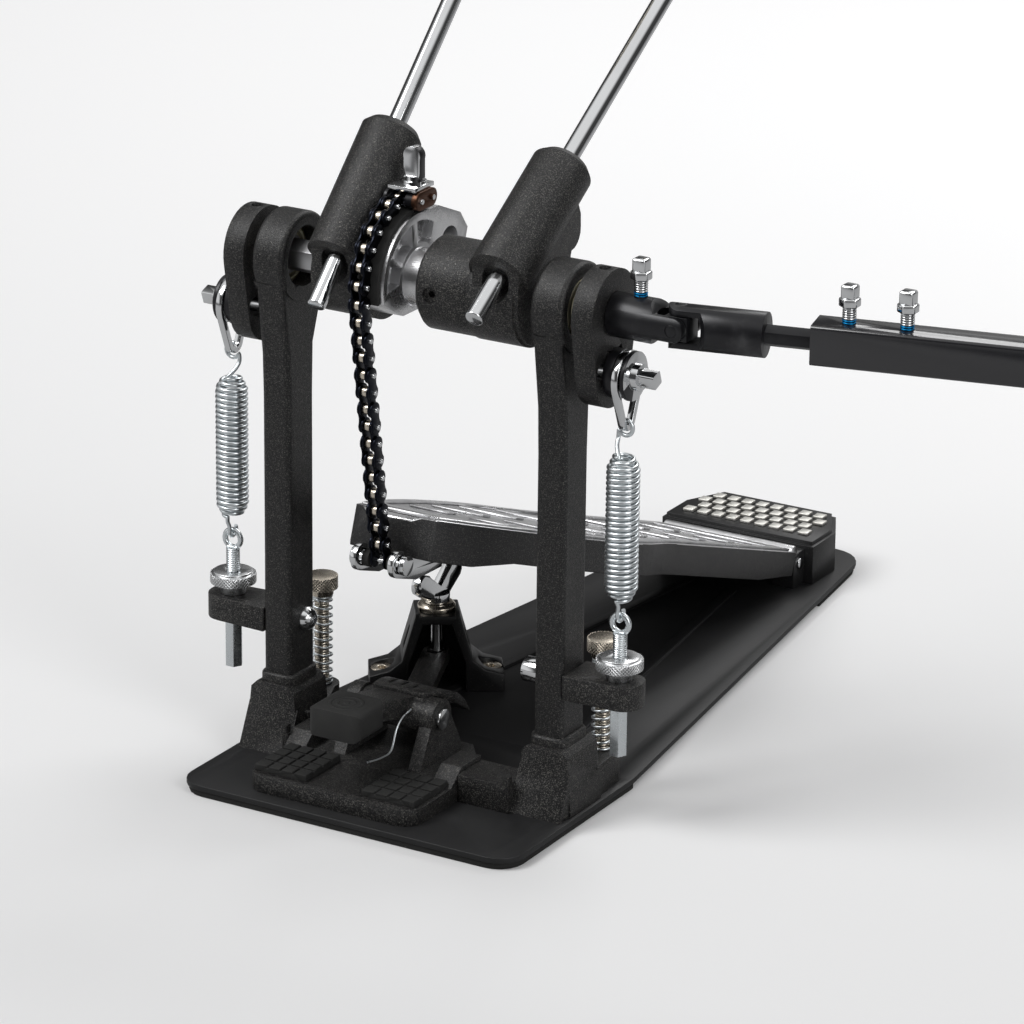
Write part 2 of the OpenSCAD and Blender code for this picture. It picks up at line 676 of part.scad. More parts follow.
// Tower that the wing screw stands on, open towards the lever
tower_foot = 30.5;
tower_foot_z = 13.5;
tower_top_half = 10;
tower_deep = 11;
foot_screw_x = 24.5;
module at_tower() {
    translate([screw_x, screw_y, 0]) rotate(tower_turn) children();
}
module clamp_tower() {
    top = tower_top_half;
    color(satin_black) at_tower() difference() {
        union() {
            along_y(-tower_deep, tower_deep) polygon([[-tower_foot, plate_top], [tower_foot, plate_top],
                [tower_foot, tower_foot_z], [tower_foot - 9, tower_foot_z + 2.5], [top + 6, tower_foot_z + 7],
                [top, tower_z], [-top, tower_z], [-top - 6, tower_foot_z + 7],
                [9 - tower_foot, tower_foot_z + 2.5], [-tower_foot, tower_foot_z]]);
            for (s = [-1, 1]) translate([s * (top - 1) - 1, -tower_deep, tower_z - 1]) cube([2, 8, 2.5]);
        }
        along_y(-tower_deep - 1, tower_deep - 3) polygon([[-13, plate_top - 1], [13, plate_top - 1],
            [13, tower_foot_z + 5], [6.5, tower_z - 4], [-6.5, tower_z - 4], [-13, tower_foot_z + 5]]);
        for (s = [-1, 1]) {
            rod_z(0, tower_z, screw_r + bolt_gap, [s * foot_screw_x, 0]);
            rod_z(tower_foot_z - 3, tower_z, 5.6, [s * foot_screw_x, 0]);
        }
        rod_z(tower_z - 10, tower_z + 1, screw_r + 0.4);
        rotate(-tower_turn) translate([-screw_x, -screw_y, 0]) plate_ridges(bolt_gap);
        along_x(-20, 20) polygon([[-3, 24], [2, 24], [1, 34], [-2, 34]]);
    }
}
module tower_fittings() {
    color(steel) at_tower() {
        for (s = [-1, 1]) {
            difference() {
                union() {
                    rod_z(plate_top, tower_foot_z - 3, screw_r, [s * foot_screw_x, 0]);
                    rod_z(tower_foot_z - 3, tower_foot_z + 0.5, 5.2, [s * foot_screw_x, 0]);
                }
                rod_z(tower_foot_z - 1.5, tower_foot_z + 1, 2.2, [s * foot_screw_x, 0], 6);
            }
        }
        difference() {
            intersection() {
                rod_z(tower_z, tower_z + 3.4, 8.6);
                translate([0, 0, tower_z - 5]) sphere(r = 11.2, $fn = 48);
            }
            rod_z(tower_z - 1, tower_z + 9, screw_r + 0.4);
        }
    }
}
wing_z = 50;
module clamp_screw() {
    base = tower_z + 3.4 + side_gap;
    color(chrome) translate([screw_x, screw_y, 0]) {
        rod_z(arm_z - 2, base + 2, screw_r);
        rod_z(base, wing_z, 6);
        for (s = [0, 180]) rotate(s) along_x(-2.4, 2.4) polygon(concat(
            [[0, wing_z - 4], [0, wing_z + 3]], arc([13, wing_z + 7], 5, 150, -40, 8),
            [[6, wing_z - 3]]));
        difference() {
            rod_z(arm_z - 5, arm_z - 1, 5);
            rod_z(arm_z - 6, arm_z - 3, 2, [0, 0], 6);
        }
    }
}

// Spurs
spur_head_h = 6;
spur_tip = 1;
module spur() {
    neck = spur_top - spur_head_h;
    rod_z(neck, spur_top, spur_head_r, [spur_x, spur_y]);
    rod_z(neck - 3, neck, spur_head_r - 2, [spur_x, spur_y]);
    rod_z(spur_tip + 6, neck - 3, spur_r, [spur_x, spur_y]);
    translate([spur_x, spur_y, spur_tip]) cylinder(h = 6, r1 = 0.6, r2 = spur_r);
}
module spur_left() { color(nickel) mirror([1, 0, 0]) spur(); }
module spur_right() { color(nickel) spur(); }
spur_coil_r = spur_r + spur_wire / 2 + 0.6;
spur_coil = let (z0 = lobe_z + spur_wire / 2 + 0.05, z1 = spur_top - spur_head_h - 3 - spur_wire / 2 - 0.05)
    [for (i = [0:8 * spur_turns]) [spur_coil_r * cos(45 * i), spur_coil_r * sin(45 * i),
        z0 + (z1 - z0) * i / (8 * spur_turns)]];
module spur_spring() { translate([spur_x, spur_y, 0]) tube(spur_coil, spur_wire / 2, 6, [0, 0, 1]); }
module spur_spring_left() { color(zinc) mirror([1, 0, 0]) spur_spring(); }
module spur_spring_right() { color(zinc) spur_spring(); }

// Heel block with its hinge ears and square studs
hinge_pin_r = 2.6;
knuckle_r = 5.5;
knuckle_half = 24;
hinge_ear_x1 = 36;
module heel_outline(inset = 0) {
    h = heel_half - inset;
    y0 = heel_y0 + inset;
    y1 = heel_y1 - inset;
    polygon([[-h, y0], [h, y0], [h, y1 - 20], [h - 10, y1], [10 - h, y1], [-h, y1 - 20]]);
}
module heel_block() {
    ear0 = knuckle_half + side_gap;
    color(black) difference() {
        union() {
            translate([0, 0, plate_top]) linear_extrude(heel_z - plate_top - 2) heel_outline();
            translate([0, 0, plate_top]) linear_extrude(heel_z - plate_top) heel_outline(1.5);
            both_sides() along_x(ear0, hinge_ear_x1) {
                translate([hinge_y, hinge_z]) circle(knuckle_r);
                polygon([[hinge_y, hinge_z + knuckle_r], [heel_y0 + 1, hinge_z + knuckle_r],
                    [heel_y0 + 1, plate_top], [hinge_y - knuckle_r, plate_top],
                    [hinge_y - knuckle_r, hinge_z]]);
            }
        }
        rod_x(-ear0, ear0, knuckle_r + 0.8, [hinge_y, hinge_z]);
        rod_x(-heel_half, heel_half, hinge_pin_r, [hinge_y, hinge_z]);
    }
}
module heel_studs() {
    rows = floor((heel_y1 - heel_y0 - 6) / stud_pitch);
    y0 = (heel_y0 + heel_y1) / 2 - (rows - 1) / 2 * stud_pitch;
    color(chrome) for (r = [0:rows - 1], c = [-5:5]) {
        x = (c + (r % 2) / 2) * stud_pitch;
        y = y0 + r * stud_pitch;
        edge = heel_half - 4 - stud_w / 2 - max(0, (y + stud_w / 2 - heel_y1 + 20) / 2);
        if (abs(x) < edge) translate([x - stud_w / 2, y - stud_w / 2, heel_z])
            cube([stud_w, stud_w, stud_h]);
    }
}

// Footboard, drawn lying along U from the heel hinge to the toe, with W up from the hinge
nose_u = 310;
nose_low_u = nose_u - 6;
wide_u = 188;
waist_u = 128;
nose_w = nose_half + 7;
function smooth(s) = let (c = max(0, min(1, s))) c * c * (3 - 2 * c);
function board_w(u) = u > wide_u
    ? nose_w + (board_half - nose_w) * (1 - pow((u - wide_u) / (nose_u - wide_u), 1.7))
    : let (b = board_heel_half + 0.014 * u)
        b + (board_half - board_heel_half - 0.014 * wide_u) * smooth((u - waist_u) / (178 - waist_u));
function board_mid(u) = nose_shift * u / nose_u;
board_u0 = 7.5;
board_us = [board_u0, 60, 110, waist_u, 138, 146, 154, 162, 170, 178, wide_u, 204, 220, 236, 252,
    268, 282, 294, nose_u - 5];
function board_outline(inset, u0, u1) = let (us = [for (u = board_us) min(max(u, u0), u1)],
    side = [for (i = [0:len(us) - 1]) if (i == 0 || us[i] > us[i - 1]) us[i]]) concat(
    [for (u = side) [u, board_mid(u) + board_w(u) - inset]],
    inset > 0 ? [] : [[nose_u, nose_shift + nose_half], [nose_u, nose_shift - nose_half]],
    [for (i = [len(side) - 1:-1:0]) [side[i], board_mid(side[i]) - board_w(side[i]) + inset]]);
module at_board() {
    translate([0, hinge_y, hinge_z]) rotate([-board_slope, 0, 0]) rotate([0, 0, -90]) children();
}
// Runs a drawing of U and W across the board
module across_board(half) {
    translate([0, half, 0]) rotate([90, 0, 0]) linear_extrude(2 * half) children();
}
board_inset = 3.5;
rib_us = [45, 85, 125, 165];
module footboard() {
    low = board_rise - board_t;
    ceiling = board_rise - board_wall;
    color(satin_black) at_board() difference() {
        union() {
            difference() {
                intersection() {
                    translate([0, 0, -30]) linear_extrude(60) polygon(board_outline(0, 0, nose_u));
                    across_board(board_half + 20) polygon([[board_u0, board_rise], [nose_u - 2, board_rise],
                        [nose_u, board_rise - 2], [nose_u, 0.5], [nose_low_u, low - 3.5],
                        [nose_u - 26, low - 3.5], [nose_u - 48, low], [40, low], [board_u0, low + 3]]);
                }
                translate([0, 0, -30]) linear_extrude(30 + ceiling)
                    polygon(board_outline(board_inset, 16, nose_u - 40));
            }
            for (u = rib_us) translate([u, board_mid(u) - board_w(u) + 1, low + 3])
                cube([2.5, 2 * board_w(u) - 2, ceiling - low - 2]);
            translate([14, board_mid(80) - 1.5, low + 3]) cube([rib_us[3] - 14, 3, ceiling - low - 2]);
            translate([0, -knuckle_half, -knuckle_r + 1]) cube([17, 2 * knuckle_half, knuckle_r + 2]);
            rotate([90, 0, 0]) translate([0, 0, -knuckle_half]) cylinder(h = 2 * knuckle_half, r = knuckle_r);
        }
        rotate([90, 0, 0]) translate([0, 0, -60]) cylinder(h = 120, r = hinge_pin_r + run_gap);
    }
}
rim_w = 5;
inlay_t = 1.2;
module footboard_inlay() {
    color(alloy) at_board() translate([0, 0, board_rise]) linear_extrude(inlay_t) {
        difference() {
            polygon(board_outline(2, board_u0 + 3, nose_u - 8));
            polygon(board_outline(2 + rim_w, 24, nose_u - 26));
        }
        for (i = [0:7]) {
            u = 48 + 29 * i;
            w = board_w(u) - rim_w - 9;
            translate([u, board_mid(u)]) difference() {
                translate([-4, -w]) square([8, 2 * w]);
                translate([-5, -5]) square([10, 10]);
            }
        }
    }
}
// Chrome bracket under the nose; its slotted ears leave the open pivot its play
bracket_in = 8;
toe_slot_gap = 0.6;
bracket_t = 2.5;
toe_pin_r = 2.5;
toe_head_r = 4.4;
toe_play = 2.3;
ear_low = 6;
module toe_bracket() {
    low = board_rise - board_t - 3.5;
    u1 = toe_reach;
    w1 = -toe_drop;
    color(chrome) at_board() translate([0, chain_x, 0]) difference() {
        for (s = [-1, 1]) translate([0, s * (bracket_in + bracket_t / 2), 0]) across_board(bracket_t / 2) {
            for (d = [-toe_play, toe_play]) translate([u1 + d, w1]) circle(ear_low);
            polygon([[u1 + toe_play, w1 - ear_low], [u1 + toe_play, w1 + ear_low], [nose_low_u, low],
                [nose_u - 34, low], [nose_u - 34, low - 3], [u1 - 14, w1 - ear_low]]);
        }
        across_board(30) {
            translate([0, low]) square([nose_u + 0.2, 40]);
            for (d = [-toe_play, toe_play]) translate([u1 + d, w1]) circle(toe_pin_r + toe_slot_gap);
            translate([u1 - toe_play, w1 - toe_pin_r - toe_slot_gap])
                square([2 * toe_play, 2 * (toe_pin_r + toe_slot_gap)]);
        }
    }
    color(chrome) at_board() translate([nose_u - 34, chain_x - bracket_in - bracket_t, low - 2.5])
        cube([24, 2 * (bracket_in + bracket_t), 2.5]);
}

// Axle, with a round bush where it turns in the left bearing and a round end in the hub
hex_end = hub_x0 - 2;
stub_end = hub_x0 + 26;
module hex_axle() {
    color(steel) {
        rod_x(-rocker_x1 - 1, hex_end, hex_r, [0, axle_z], 6);
        rod_x(-bearing_x0 - bearing_w - 0.4, -bearing_x0 + 0.4, bush_r, [0, axle_z]);
        rod_x(hex_end, stub_end, stub_r, [0, axle_z]);
    }
}
module slave_shaft() {
    color(steel) {
        rod_x(stub_end + 3, rocker_x1 + 18, hex_r, [0, axle_z], 6);
        rod_x(bearing_x0 - 0.4, bearing_x0 + bearing_w + 0.4, bush_r, [0, axle_z]);
    }
}

// Rockers: a pear with a curved slot for the spring pin and teeth beside it
rocker_low_r = 14.5;
slot_span = 24;
pin_y = -rocker_arm * sin(2.3);
pin_z = axle_z - rocker_arm * cos(2.3);
module slot_arc(half) {
    difference() {
        circle(rocker_arm + half, $fn = 64);
        circle(rocker_arm - half, $fn = 64);
        polygon([[0, 0], [60 * sin(slot_span), -60 * cos(slot_span)], [60, 0], [60, 60], [-60, 60], [-60, 0],
            [-60 * sin(slot_span), -60 * cos(slot_span)]]);
    }
    for (s = [-1, 1]) rotate(s * slot_span) translate([0, -rocker_arm]) circle(half);
}
module rocker() {
    tooth = 1.4;
    difference() {
        along_x(rocker_x0, rocker_x1) translate([0, axle_z])
            drop_shape(rocker_r, rocker_low_r, rocker_arm + 1);
        along_x(rocker_x0 - 1, rocker_x1 + 1) translate([0, axle_z]) slot_arc(pin_r + side_gap);
        rod_x(rocker_x0 - 1, rocker_x1 + 1, hex_r, [0, axle_z], 6);
        for (a = [-20:5:20]) translate([rocker_x1 - 1, 0, axle_z]) rotate([a, 0, 0])
            translate([0, -tooth / 2, -rocker_arm + pin_r + 1]) cube([2, tooth, 5]);
        rod_z(axle_z + 8, axle_z + rocker_r + 2, 2.5, [(rocker_x0 + rocker_x1) / 2, 0], 24);
    }
}
module rocker_left() { color(black) mirror([1, 0, 0]) rocker(); }
module rocker_right() { color(black) rocker(); }

// Spring pin with a square key end, and the grooved roller that the strap hangs on
roller_flange_r = 10.5;
groove_r = 7.6;
groove_w = strap_w + 1;
strap_x0 = spring_x - strap_w / 2;
module tension_pin() {
    r0 = rocker_x1 + 0.8;
    at = [pin_y, pin_z];
    rod_x(rocker_x0 - 3, rocker_x0 - side_gap, pin_r + 2.2, at, 6);
    rod_x(rocker_x0 - 3, spring_x + 8, pin_r, at);
    rod_x(rocker_x1, r0, pin_r + 2.5, at);
    rod_x(spring_x + groove_w / 2 + 1.8, spring_x + 7, pin_r + 2.4, at);
    along_x(spring_x + 7, spring_x + 14) translate(at) rotate(20) round_rect(6.3, 6.3, 1);
    difference() {
        union() {
            rod_x(r0, spring_x - groove_w / 2, roller_flange_r, at);
            rod_x(r0, spring_x + groove_w / 2, groove_r, at);
            rod_x(spring_x + groove_w / 2, spring_x + groove_w / 2 + 1.8, roller_flange_r, at);
        }
        rod_x(r0 - 1, spring_x + 20, pin_r, at);
    }
}
module tension_pin_left() { color(chrome) mirror([1, 0, 0]) tension_pin(); }
module tension_pin_right() { color(chrome) tension_pin(); }

// Straps: long loops that hang on the rollers and take the springs' hooks
strap_play = 1.45;
strap_in_r = groove_r + strap_play;
strap_wall = 2.7;
strap_low_in = 2.7;
strap_drop = 17.55;
strap_z = pin_z - strap_play + side_gap - 0.1;
strap_bar_z = strap_z - strap_drop - strap_low_in - strap_wall / 2;
module strap() {
    along_x(strap_x0, strap_x0 + strap_w) translate([pin_y, strap_z]) difference() {
        drop_shape(strap_in_r + strap_wall, strap_low_in + strap_wall, strap_drop);
        drop_shape(strap_in_r, strap_low_in, strap_drop);
    }
}
module strap_left() { color(chrome) mirror([1, 0, 0]) strap(); }
module strap_right() { color(chrome) strap(); }

// Tension springs: lower hook, coils drawn in at both ends, upper hook, one wire
hook_r = eye_wire_r + spring_wire / 2 + 0.45;
top_hook_r = norm([strap_w / 2, strap_wall / 2]) + spring_wire / 2 + 0.4;
function coil_radius(s) = spring_r - 2.4 * (1 - smooth(min(s, 1 - s) * spring_turns / 2.5));
hook_y = pin_y - 0.6;
spring_path = let (n = 8 * spring_turns, y0 = shank_y) concat(
    [for (a = [120:-22:-100]) [0, y0 + hook_r * sin(a), eye_z - hook_r * cos(a)]],
    [[0, y0 - hook_r, eye_z + 2.2], [0.5, y0 - hook_r - 0.6, coil_z0 - 2.4]],
    [for (i = [0:n]) let (a = -90 + 45 * i, r = coil_radius(i / n))
        [r * cos(a), y0 + r * sin(a), coil_z0 + (coil_z1 - coil_z0) * i / n]],
    [[-1.4, y0 - 2.6, coil_z1 + 2.1], [-2.8, y0 - 0.6, coil_z1 + 4.5],
    [-top_hook_r, hook_y, strap_bar_z - top_hook_r - 1.2]],
    [for (a = [-70:33:194]) [top_hook_r * sin(a), hook_y, strap_bar_z - top_hook_r * cos(a)]]);
module tension_spring() { translate([spring_x, 0, 0]) tube(spring_path, spring_wire / 2, 6, [1, 0, 0]); }
module spring_left() { color(zinc) mirror([1, 0, 0]) tension_spring(); }
module spring_right() { color(zinc) tension_spring(); }

// Beater holders: a barrel for the rod beside a hub on the axle, leaning back
holder_hub_r = 20.5;
barrel_low = -7;
boss_z = 30;
module at_holder(x, lean) {
    translate([x, 0, axle_z]) rotate([-lean, 0, 0]) children();
}
module holder(x, lean, hub0, hub1, axle_hole_r, axle_sides) {
    difference() {
        union() {
            at_holder(x, lean) {
                rod_z(barrel_low, barrel_top - 3, barrel_r, [0, -rod_off]);
                translate([0, -rod_off, barrel_top - 3]) cylinder(h = 3, r1 = barrel_r, r2 = barrel_r - 2.5);
                along_x(2.5 - barrel_r, barrel_r - 2.5) polygon(concat(
                    [[-rod_off, barrel_low - 3], [-rod_off - 6, barrel_low + 1], [-rod_off, barrel_top - 12],
                    [barrel_r - rod_off - 1, boss_z + 13]],
                    arc([barrel_r - rod_off, boss_z + 3], 8, 60, -30, 5),
                    arc([0, 0], holder_hub_r - 1, 30, -130, 10)));
            }
            rod_x(x + hub0, x + hub1, holder_hub_r, [0, axle_z]);
        }
        rod_x(x - barrel_r - 1, x + barrel_r + 1, axle_hole_r, [0, axle_z], axle_sides);
        at_holder(x, lean) {
            rod_z(-60, barrel_top + 1, rod_r, [0, -rod_off]);
            rod_z(-60, barrel_low + 1, rod_r + 2.5, [0, -rod_off]);
            translate([-0.6, -rod_off, barrel_top - 22]) cube([1.2, barrel_r + 14, 30]);
            rod_y(2 - rod_off, 20, 2.8, [0, boss_z]);
        }
    }
    at_holder(x, lean) {
        rod_y(rod_r - rod_off, barrel_r - rod_off + 13, 2.8, [0, boss_z]);
        rod_y(barrel_r - rod_off + 13, barrel_r - rod_off + 17, 4.2, [0, boss_z]);
        along_y(barrel_r - rod_off + 17, barrel_r - rod_off + 24) translate([0, boss_z])
            square(6.2, center = true);
    }
}
module holder_left() { color(black) holder(left_x, lean_left, -12, barrel_r, hex_r, 6); }
module holder_right() {
    color(black) holder(right_x, lean_right, -barrel_r, hub_x1 - right_x, hex_r, 6);
}
module slave_hub() {
    x1 = right_x - barrel_r;
    color(black) difference() {
        union() {
            rod_x(hub_x0 + 2, x1, hub_r, [0, axle_z]);
            translate([hub_x0, 0, axle_z]) rotate([0, 90, 0]) cylinder(h = 2, r1 = hub_r - 2, r2 = hub_r);
        }
        rod_x(hub_x0 - 1, stub_end + 1, stub_r + run_gap, [0, axle_z]);
        rod_x(stub_end, x1 + 1, hex_r, [0, axle_z], 6);
        rod_y(-hub_r - 1, 8 - hub_r, 3.4, [hub_x0 + 8, axle_z]);
    }
    color(steel) difference() {
        rod_y(2 - hub_r, 8 - hub_r, 3.4, [hub_x0 + 8, axle_z]);
        rod_y(1 - hub_r, 5 - hub_r, 1.7, [hub_x0 + 8, axle_z], 6);
    }
}
module beater_rod(x, lean) {
    at_holder(x, lean) translate([0, -rod_off, 0]) {
        translate([0, 0, 1.6 - rod_below]) cylinder(h = rod_len + rod_below - 1.6, r = rod_r);
        translate([0, 0, -rod_below]) cylinder(h = 1.6, r1 = rod_r - 1.4, r2 = rod_r);
    }
}
module rod_left() { color(chrome) beater_rod(left_x, lean_left); }
module rod_right() { color(chrome) beater_rod(right_x, lean_right); }
// A round beater: felt face towards the drum and a plain back
module beater(x, lean) {
    half = beater_len / 2;
    at_holder(x, lean) translate([0, -rod_off, rod_len]) difference() {
        rotate([90, 0, 0]) rotate_extrude() polygon(concat([[0, -half]], arc([beater_r - 5, 5 - half], 5, -90, 0, 4),
            arc([beater_r - 9, half - 9], 9, 0, 60, 4), [[0, half]]));
        translate([0, 0, -beater_r - 1]) cylinder(h = beater_r + 1, r = rod_r);
    }
}
module beater_left() { color(felt) beater(left_x, lean_left); }
module beater_right() { color(felt) beater(right_x, lean_right); }

// Cam: a rim under the chain, ribs and pockets in its side, and an eye behind the axle
cam_x0 = chain_x - 5;
cam_x1 = cam_x0 + cam_w;
strip_r = cam_pitch_r - plate_h / 2 - 0.1;
rim_r = strip_r - strip_t;
wrap_end = -chain_lean + (3 + wrap_links) * step;
cam_low = -chain_lean - 2;
rim_steps = 12;
function rim_point(r, i) = let (a = 180 - cam_low - (wrap_end + 10 - cam_low) * i / rim_steps)
    r * [cos(a), sin(a)];
module cam_outline() {
    polygon(concat([for (i = [0:rim_steps]) rim_point(rim_r, i)],
        [[16, rim_r - 0.5], [34, 20], [40, 12], [38, 6], [16, -8], [6, -14], [-12, -14], [-18, -11]]));
}
module cam() {
    pocket = 5;
    color(alloy) difference() {
        union() {
            along_x(cam_x0, cam_x1) translate([0, axle_z]) cam_outline();
            rod_x(cam_x1 - 1, hub_x0 - side_gap, 13, [0, axle_z]);
            rod_x(left_x + barrel_r, cam_x0 + 1, 12, [0, axle_z]);
        }
        rod_x(-60, hub_x0 + 1, hex_r, [0, axle_z], 6);
        rod_x(cam_x0 - 1, cam_x1 + 1, 7, [25, axle_z + 9]);
        for (side = [cam_x0 - 1, cam_x1 - pocket]) along_x(side, side + pocket + 1) translate([0, axle_z]) {
            intersection() {
                difference() {
                    circle(rim_r - 3.5);
                    circle(15);
                }
                union() {
                    polygon([[-4, 2], [-60, -6], [-60, 22], [-6, 5]]);
                    polygon([[-4, 5], [-60, 34], [-60, 60], [-8, 60]]);
                    polygon([[0, 5], [-3, 60], [24, 60], [10, 14]]);
                }
            }
        }
    }
}
module cam_strip() {
    color(rubber_black) along_x(cam_x0, cam_x1 - 1.5) translate([0, axle_z]) polygon(concat(
        [for (i = [0:rim_steps - 1]) rim_point(strip_r, i)],
        [for (i = [rim_steps - 1:-1:0]) rim_point(rim_r, i)]));
}

// Chain links. An inner link carries bushes with their rollers, an outer link the pins
inner_x = chain_w / 2;
outer_x = inner_x + link_t + 0.15;
pin_end = outer_x + link_t + 0.7;
bush_bore = chain_pin_r + run_gap;
module at_link(a, b) {
    d = b - a;
    translate([chain_x, a[0], a[1]]) rotate([atan2(d[1], d[0]), 0, 0]) children();
}
module plate_pair(x0, holes) {
    waist = plate_h - 1.6;
    for (s = [-1, 1]) difference() {
        along_x(s * (x0 + link_t / 2) - link_t / 2, s * (x0 + link_t / 2) + link_t / 2) {
            circle(plate_h / 2, $fn = 24);
            translate([pitch, 0]) circle(plate_h / 2, $fn = 24);
            translate([0, -waist / 2]) square([pitch, waist]);
        }
        for (y = [0, pitch]) rod_x(-9, 9, holes, [y, 0], 24);
    }
}
module inner_link(a, b) {
    at_link(a, b) {
        plate_pair(inner_x, bush_bore);
        for (y = [0, pitch]) difference() {
            union() {
                rod_x(-inner_x - eps, inner_x + eps, bush_bore + 0.6, [y, 0], 24);
                rod_x(0.1 - inner_x, inner_x - 0.1, roller_r, [y, 0], 24);
            }
            rod_x(-9, 9, bush_bore, [y, 0], 24);
        }
    }
}
module outer_link(a, b) {
    at_link(a, b) {
        plate_pair(outer_x, chain_pin_r - eps);
        for (y = [0, pitch]) rod_x(-pin_end, pin_end, chain_pin_r, [y, 0], 24);
    }
}
module chain_run() {
    color(blued) for (k = [0:free_links - 1])
        if (k % 2 == 0) outer_link(run_pin(k), run_pin(k + 1));
        else inner_link(run_pin(k), run_pin(k + 1));
}
module chain_link_1() { color(blued) inner_link(cam_pin(1), cam_pin(0)); }
module chain_link_2() { color(blued) outer_link(cam_pin(2), cam_pin(1)); }
module chain_link_3() { color(blued) inner_link(cam_pin(3), cam_pin(2)); }
module chain_wrap() {
    color(blued) for (k = [3:2 + wrap_links])
        if (k % 2 == 1) outer_link(cam_pin(k + 1), cam_pin(k));
        else inner_link(cam_pin(k + 1), cam_pin(k));
}
// Anchor at the cam's top: two long pins with spacers, a brown plate, a clamp plate and its bolt
module chain_anchor() {
    top = cam_pin(3 + wrap_links);
    y = top[0];
    z = top[1];
    far = cam_x1 + 2;
    plate_z = z + 4.2;
    long_pin_r = chain_pin_r;
    near = left_x + barrel_r + side_gap;
    spacer_r = strip_r - rim_r + 1.5;
    seat_z = axle_z + rim_r - 0.2;
    color(rubber_black) for (x = [[near, chain_x - pin_end - 0.3],
        [chain_x + pin_end + 0.3, cam_x1 - 0.5]]) difference() {
        rod_x(x[0], x[1], spacer_r, [y, z], 24);
        rod_x(x[0] - 1, x[1] + 1, long_pin_r, [y, z], 24);
    }
    color(chrome) rod_x(near - 0.1, far + 1, long_pin_r - eps, [y, z], 24);
    color(copper) difference() {
        along_x(cam_x1 - 0.5, far) {
            translate([y, z]) circle(4, $fn = 24);
            translate([y + 9, z]) circle(4, $fn = 24);
            translate([y, z - 4]) square([9, 8]);
        }
        for (d = [0, 9]) rod_x(cam_x1 - 1, far + 1, long_pin_r, [y + d, z], 24);
    }
    color(chrome) {
        rod_x(cam_x0 + 1, far + 1, long_pin_r - eps, [y + 9, z], 24);
        translate([chain_x - 4, y - 3, plate_z]) cube([cam_x1 - chain_x + 5, 15, 1.8]);
        translate([chain_x - 3, y + 6, seat_z]) cube([cam_x1 - chain_x + 2, 6, plate_z - seat_z + eps]);
        rod_z(plate_z, plate_z + 5, 3.6, [cam_x1 - 5, y + 6]);
        rod_z(plate_z + 1.8, plate_z + 3, 5.2, [cam_x1 - 5, y + 6]);
        translate([0, y + 6, plate_z + 5]) along_y(-2.2, 2.2) polygon(concat(
            [[cam_x1 - 9, -1], [cam_x1 - 1, -1]], arc([cam_x1 - 5, 8.5], 4.2, -20, 200, 10)));
    }
}
// Toe pin with its spacers and head
module toe_pin() {
    out = bracket_in + bracket_t;
    color(chrome) difference() {
        union() {
            rod_x(chain_x - out - 2.5, chain_x + out + 2.5, toe_pin_r, [toe_y, toe_z]);
            for (x = [-out - 2.9, out + 0.4]) rod_x(chain_x + x, chain_x + x + 2.5, toe_head_r, [toe_y, toe_z]);
        }
        rod_x(chain_x - pin_end - 0.1, chain_x + pin_end + 0.1, toe_pin_r + 1, [toe_y, toe_z]);
    }
    color(rubber_black) for (s = [-1, 1]) difference() {
        rod_x(chain_x + s * (bracket_in + pin_end) / 2 - (bracket_in - pin_end) / 2 + 0.3,
            chain_x + s * (bracket_in + pin_end) / 2 + (bracket_in - pin_end) / 2 - 0.3, 3.8, [toe_y, toe_z]);
        rod_x(chain_x - 20, chain_x + 20, toe_pin_r, [toe_y, toe_z]);
    }
}

// Drive shaft: yoke, cross, yoke with a sliding rod, square tube, cross and far yoke
joint_x = rocker_x1 + yoke_reach;
cross_r = 2.6;
fork_in = 5.6;
fork_nose_r = fork_in - side_gap;
fork_room_r = norm([yoke_r, fork_nose_r]) + side_gap;
far_x = tube_start + tube_len + 16;
far_socket_x = 30;
far_socket_len = 18;
module at_shaft(along = 0) {
    translate([joint_x, 0, axle_z]) rotate([0, 0, shaft_turn]) translate([along, 0, 0]) children();
}
// Fork whose ears take a pin along Y, pointing along +X from x = -reach to the pin at 0
module fork(reach) {
    wide = yoke_r + 1;
    difference() {
        intersection() {
            rod_x(-reach, yoke_r, yoke_r);
            along_y(-wide, wide) polygon(concat([[-reach, wide], [-reach, -wide],
                [-fork_room_r - 2, -wide], [-fork_room_r + 2, -fork_nose_r]],
                arc([0, 0], fork_nose_r, -90, 90, 16),
                [[-fork_room_r + 2, fork_nose_r], [-fork_room_r - 2, wide]]));
        }
        intersection() {
            sphere(fork_room_r);
            translate([-20, -fork_in, -20]) cube([40, 2 * fork_in, 40]);
        }
        rod_y(-20, 20, cross_r + run_gap);
    }
}
module cross_piece() {
    cube([2 * fork_in - 1, 2 * fork_in - 1, 2 * fork_in - 1], center = true);
    rod_y(-yoke_r + 0.3, yoke_r - 0.3, cross_r);
    rod_z(-yoke_r + 0.3, yoke_r - 0.3, cross_r);
}
module key_screw(foot, seat) {
    rod_z(foot, seat + 9, 2.9);
    rod_z(seat + 1, seat + 2.4, 4.2);
    rod_z(seat + 8, seat + 11, 4.3);
    translate([0, 0, seat + 11]) linear_extrude(5.5) round_rect(6.4, 6.4, 1.2);
}
module near_yoke() {
    reach = yoke_reach - side_gap;
    color(black) translate([joint_x, 0, axle_z]) difference() {
        fork(reach);
        rod_x(-yoke_reach - 1, 18 - yoke_reach, hex_r, [0, 0], 6);
        rod_z(0, 20, 2.9, [12 - yoke_reach, 0]);
    }
    color(steel) translate([joint_x + 12 - yoke_reach, 0, axle_z]) key_screw(hex_r, yoke_r);
}
module joint_cross() { color(black) translate([joint_x, 0, axle_z]) cross_piece(); }
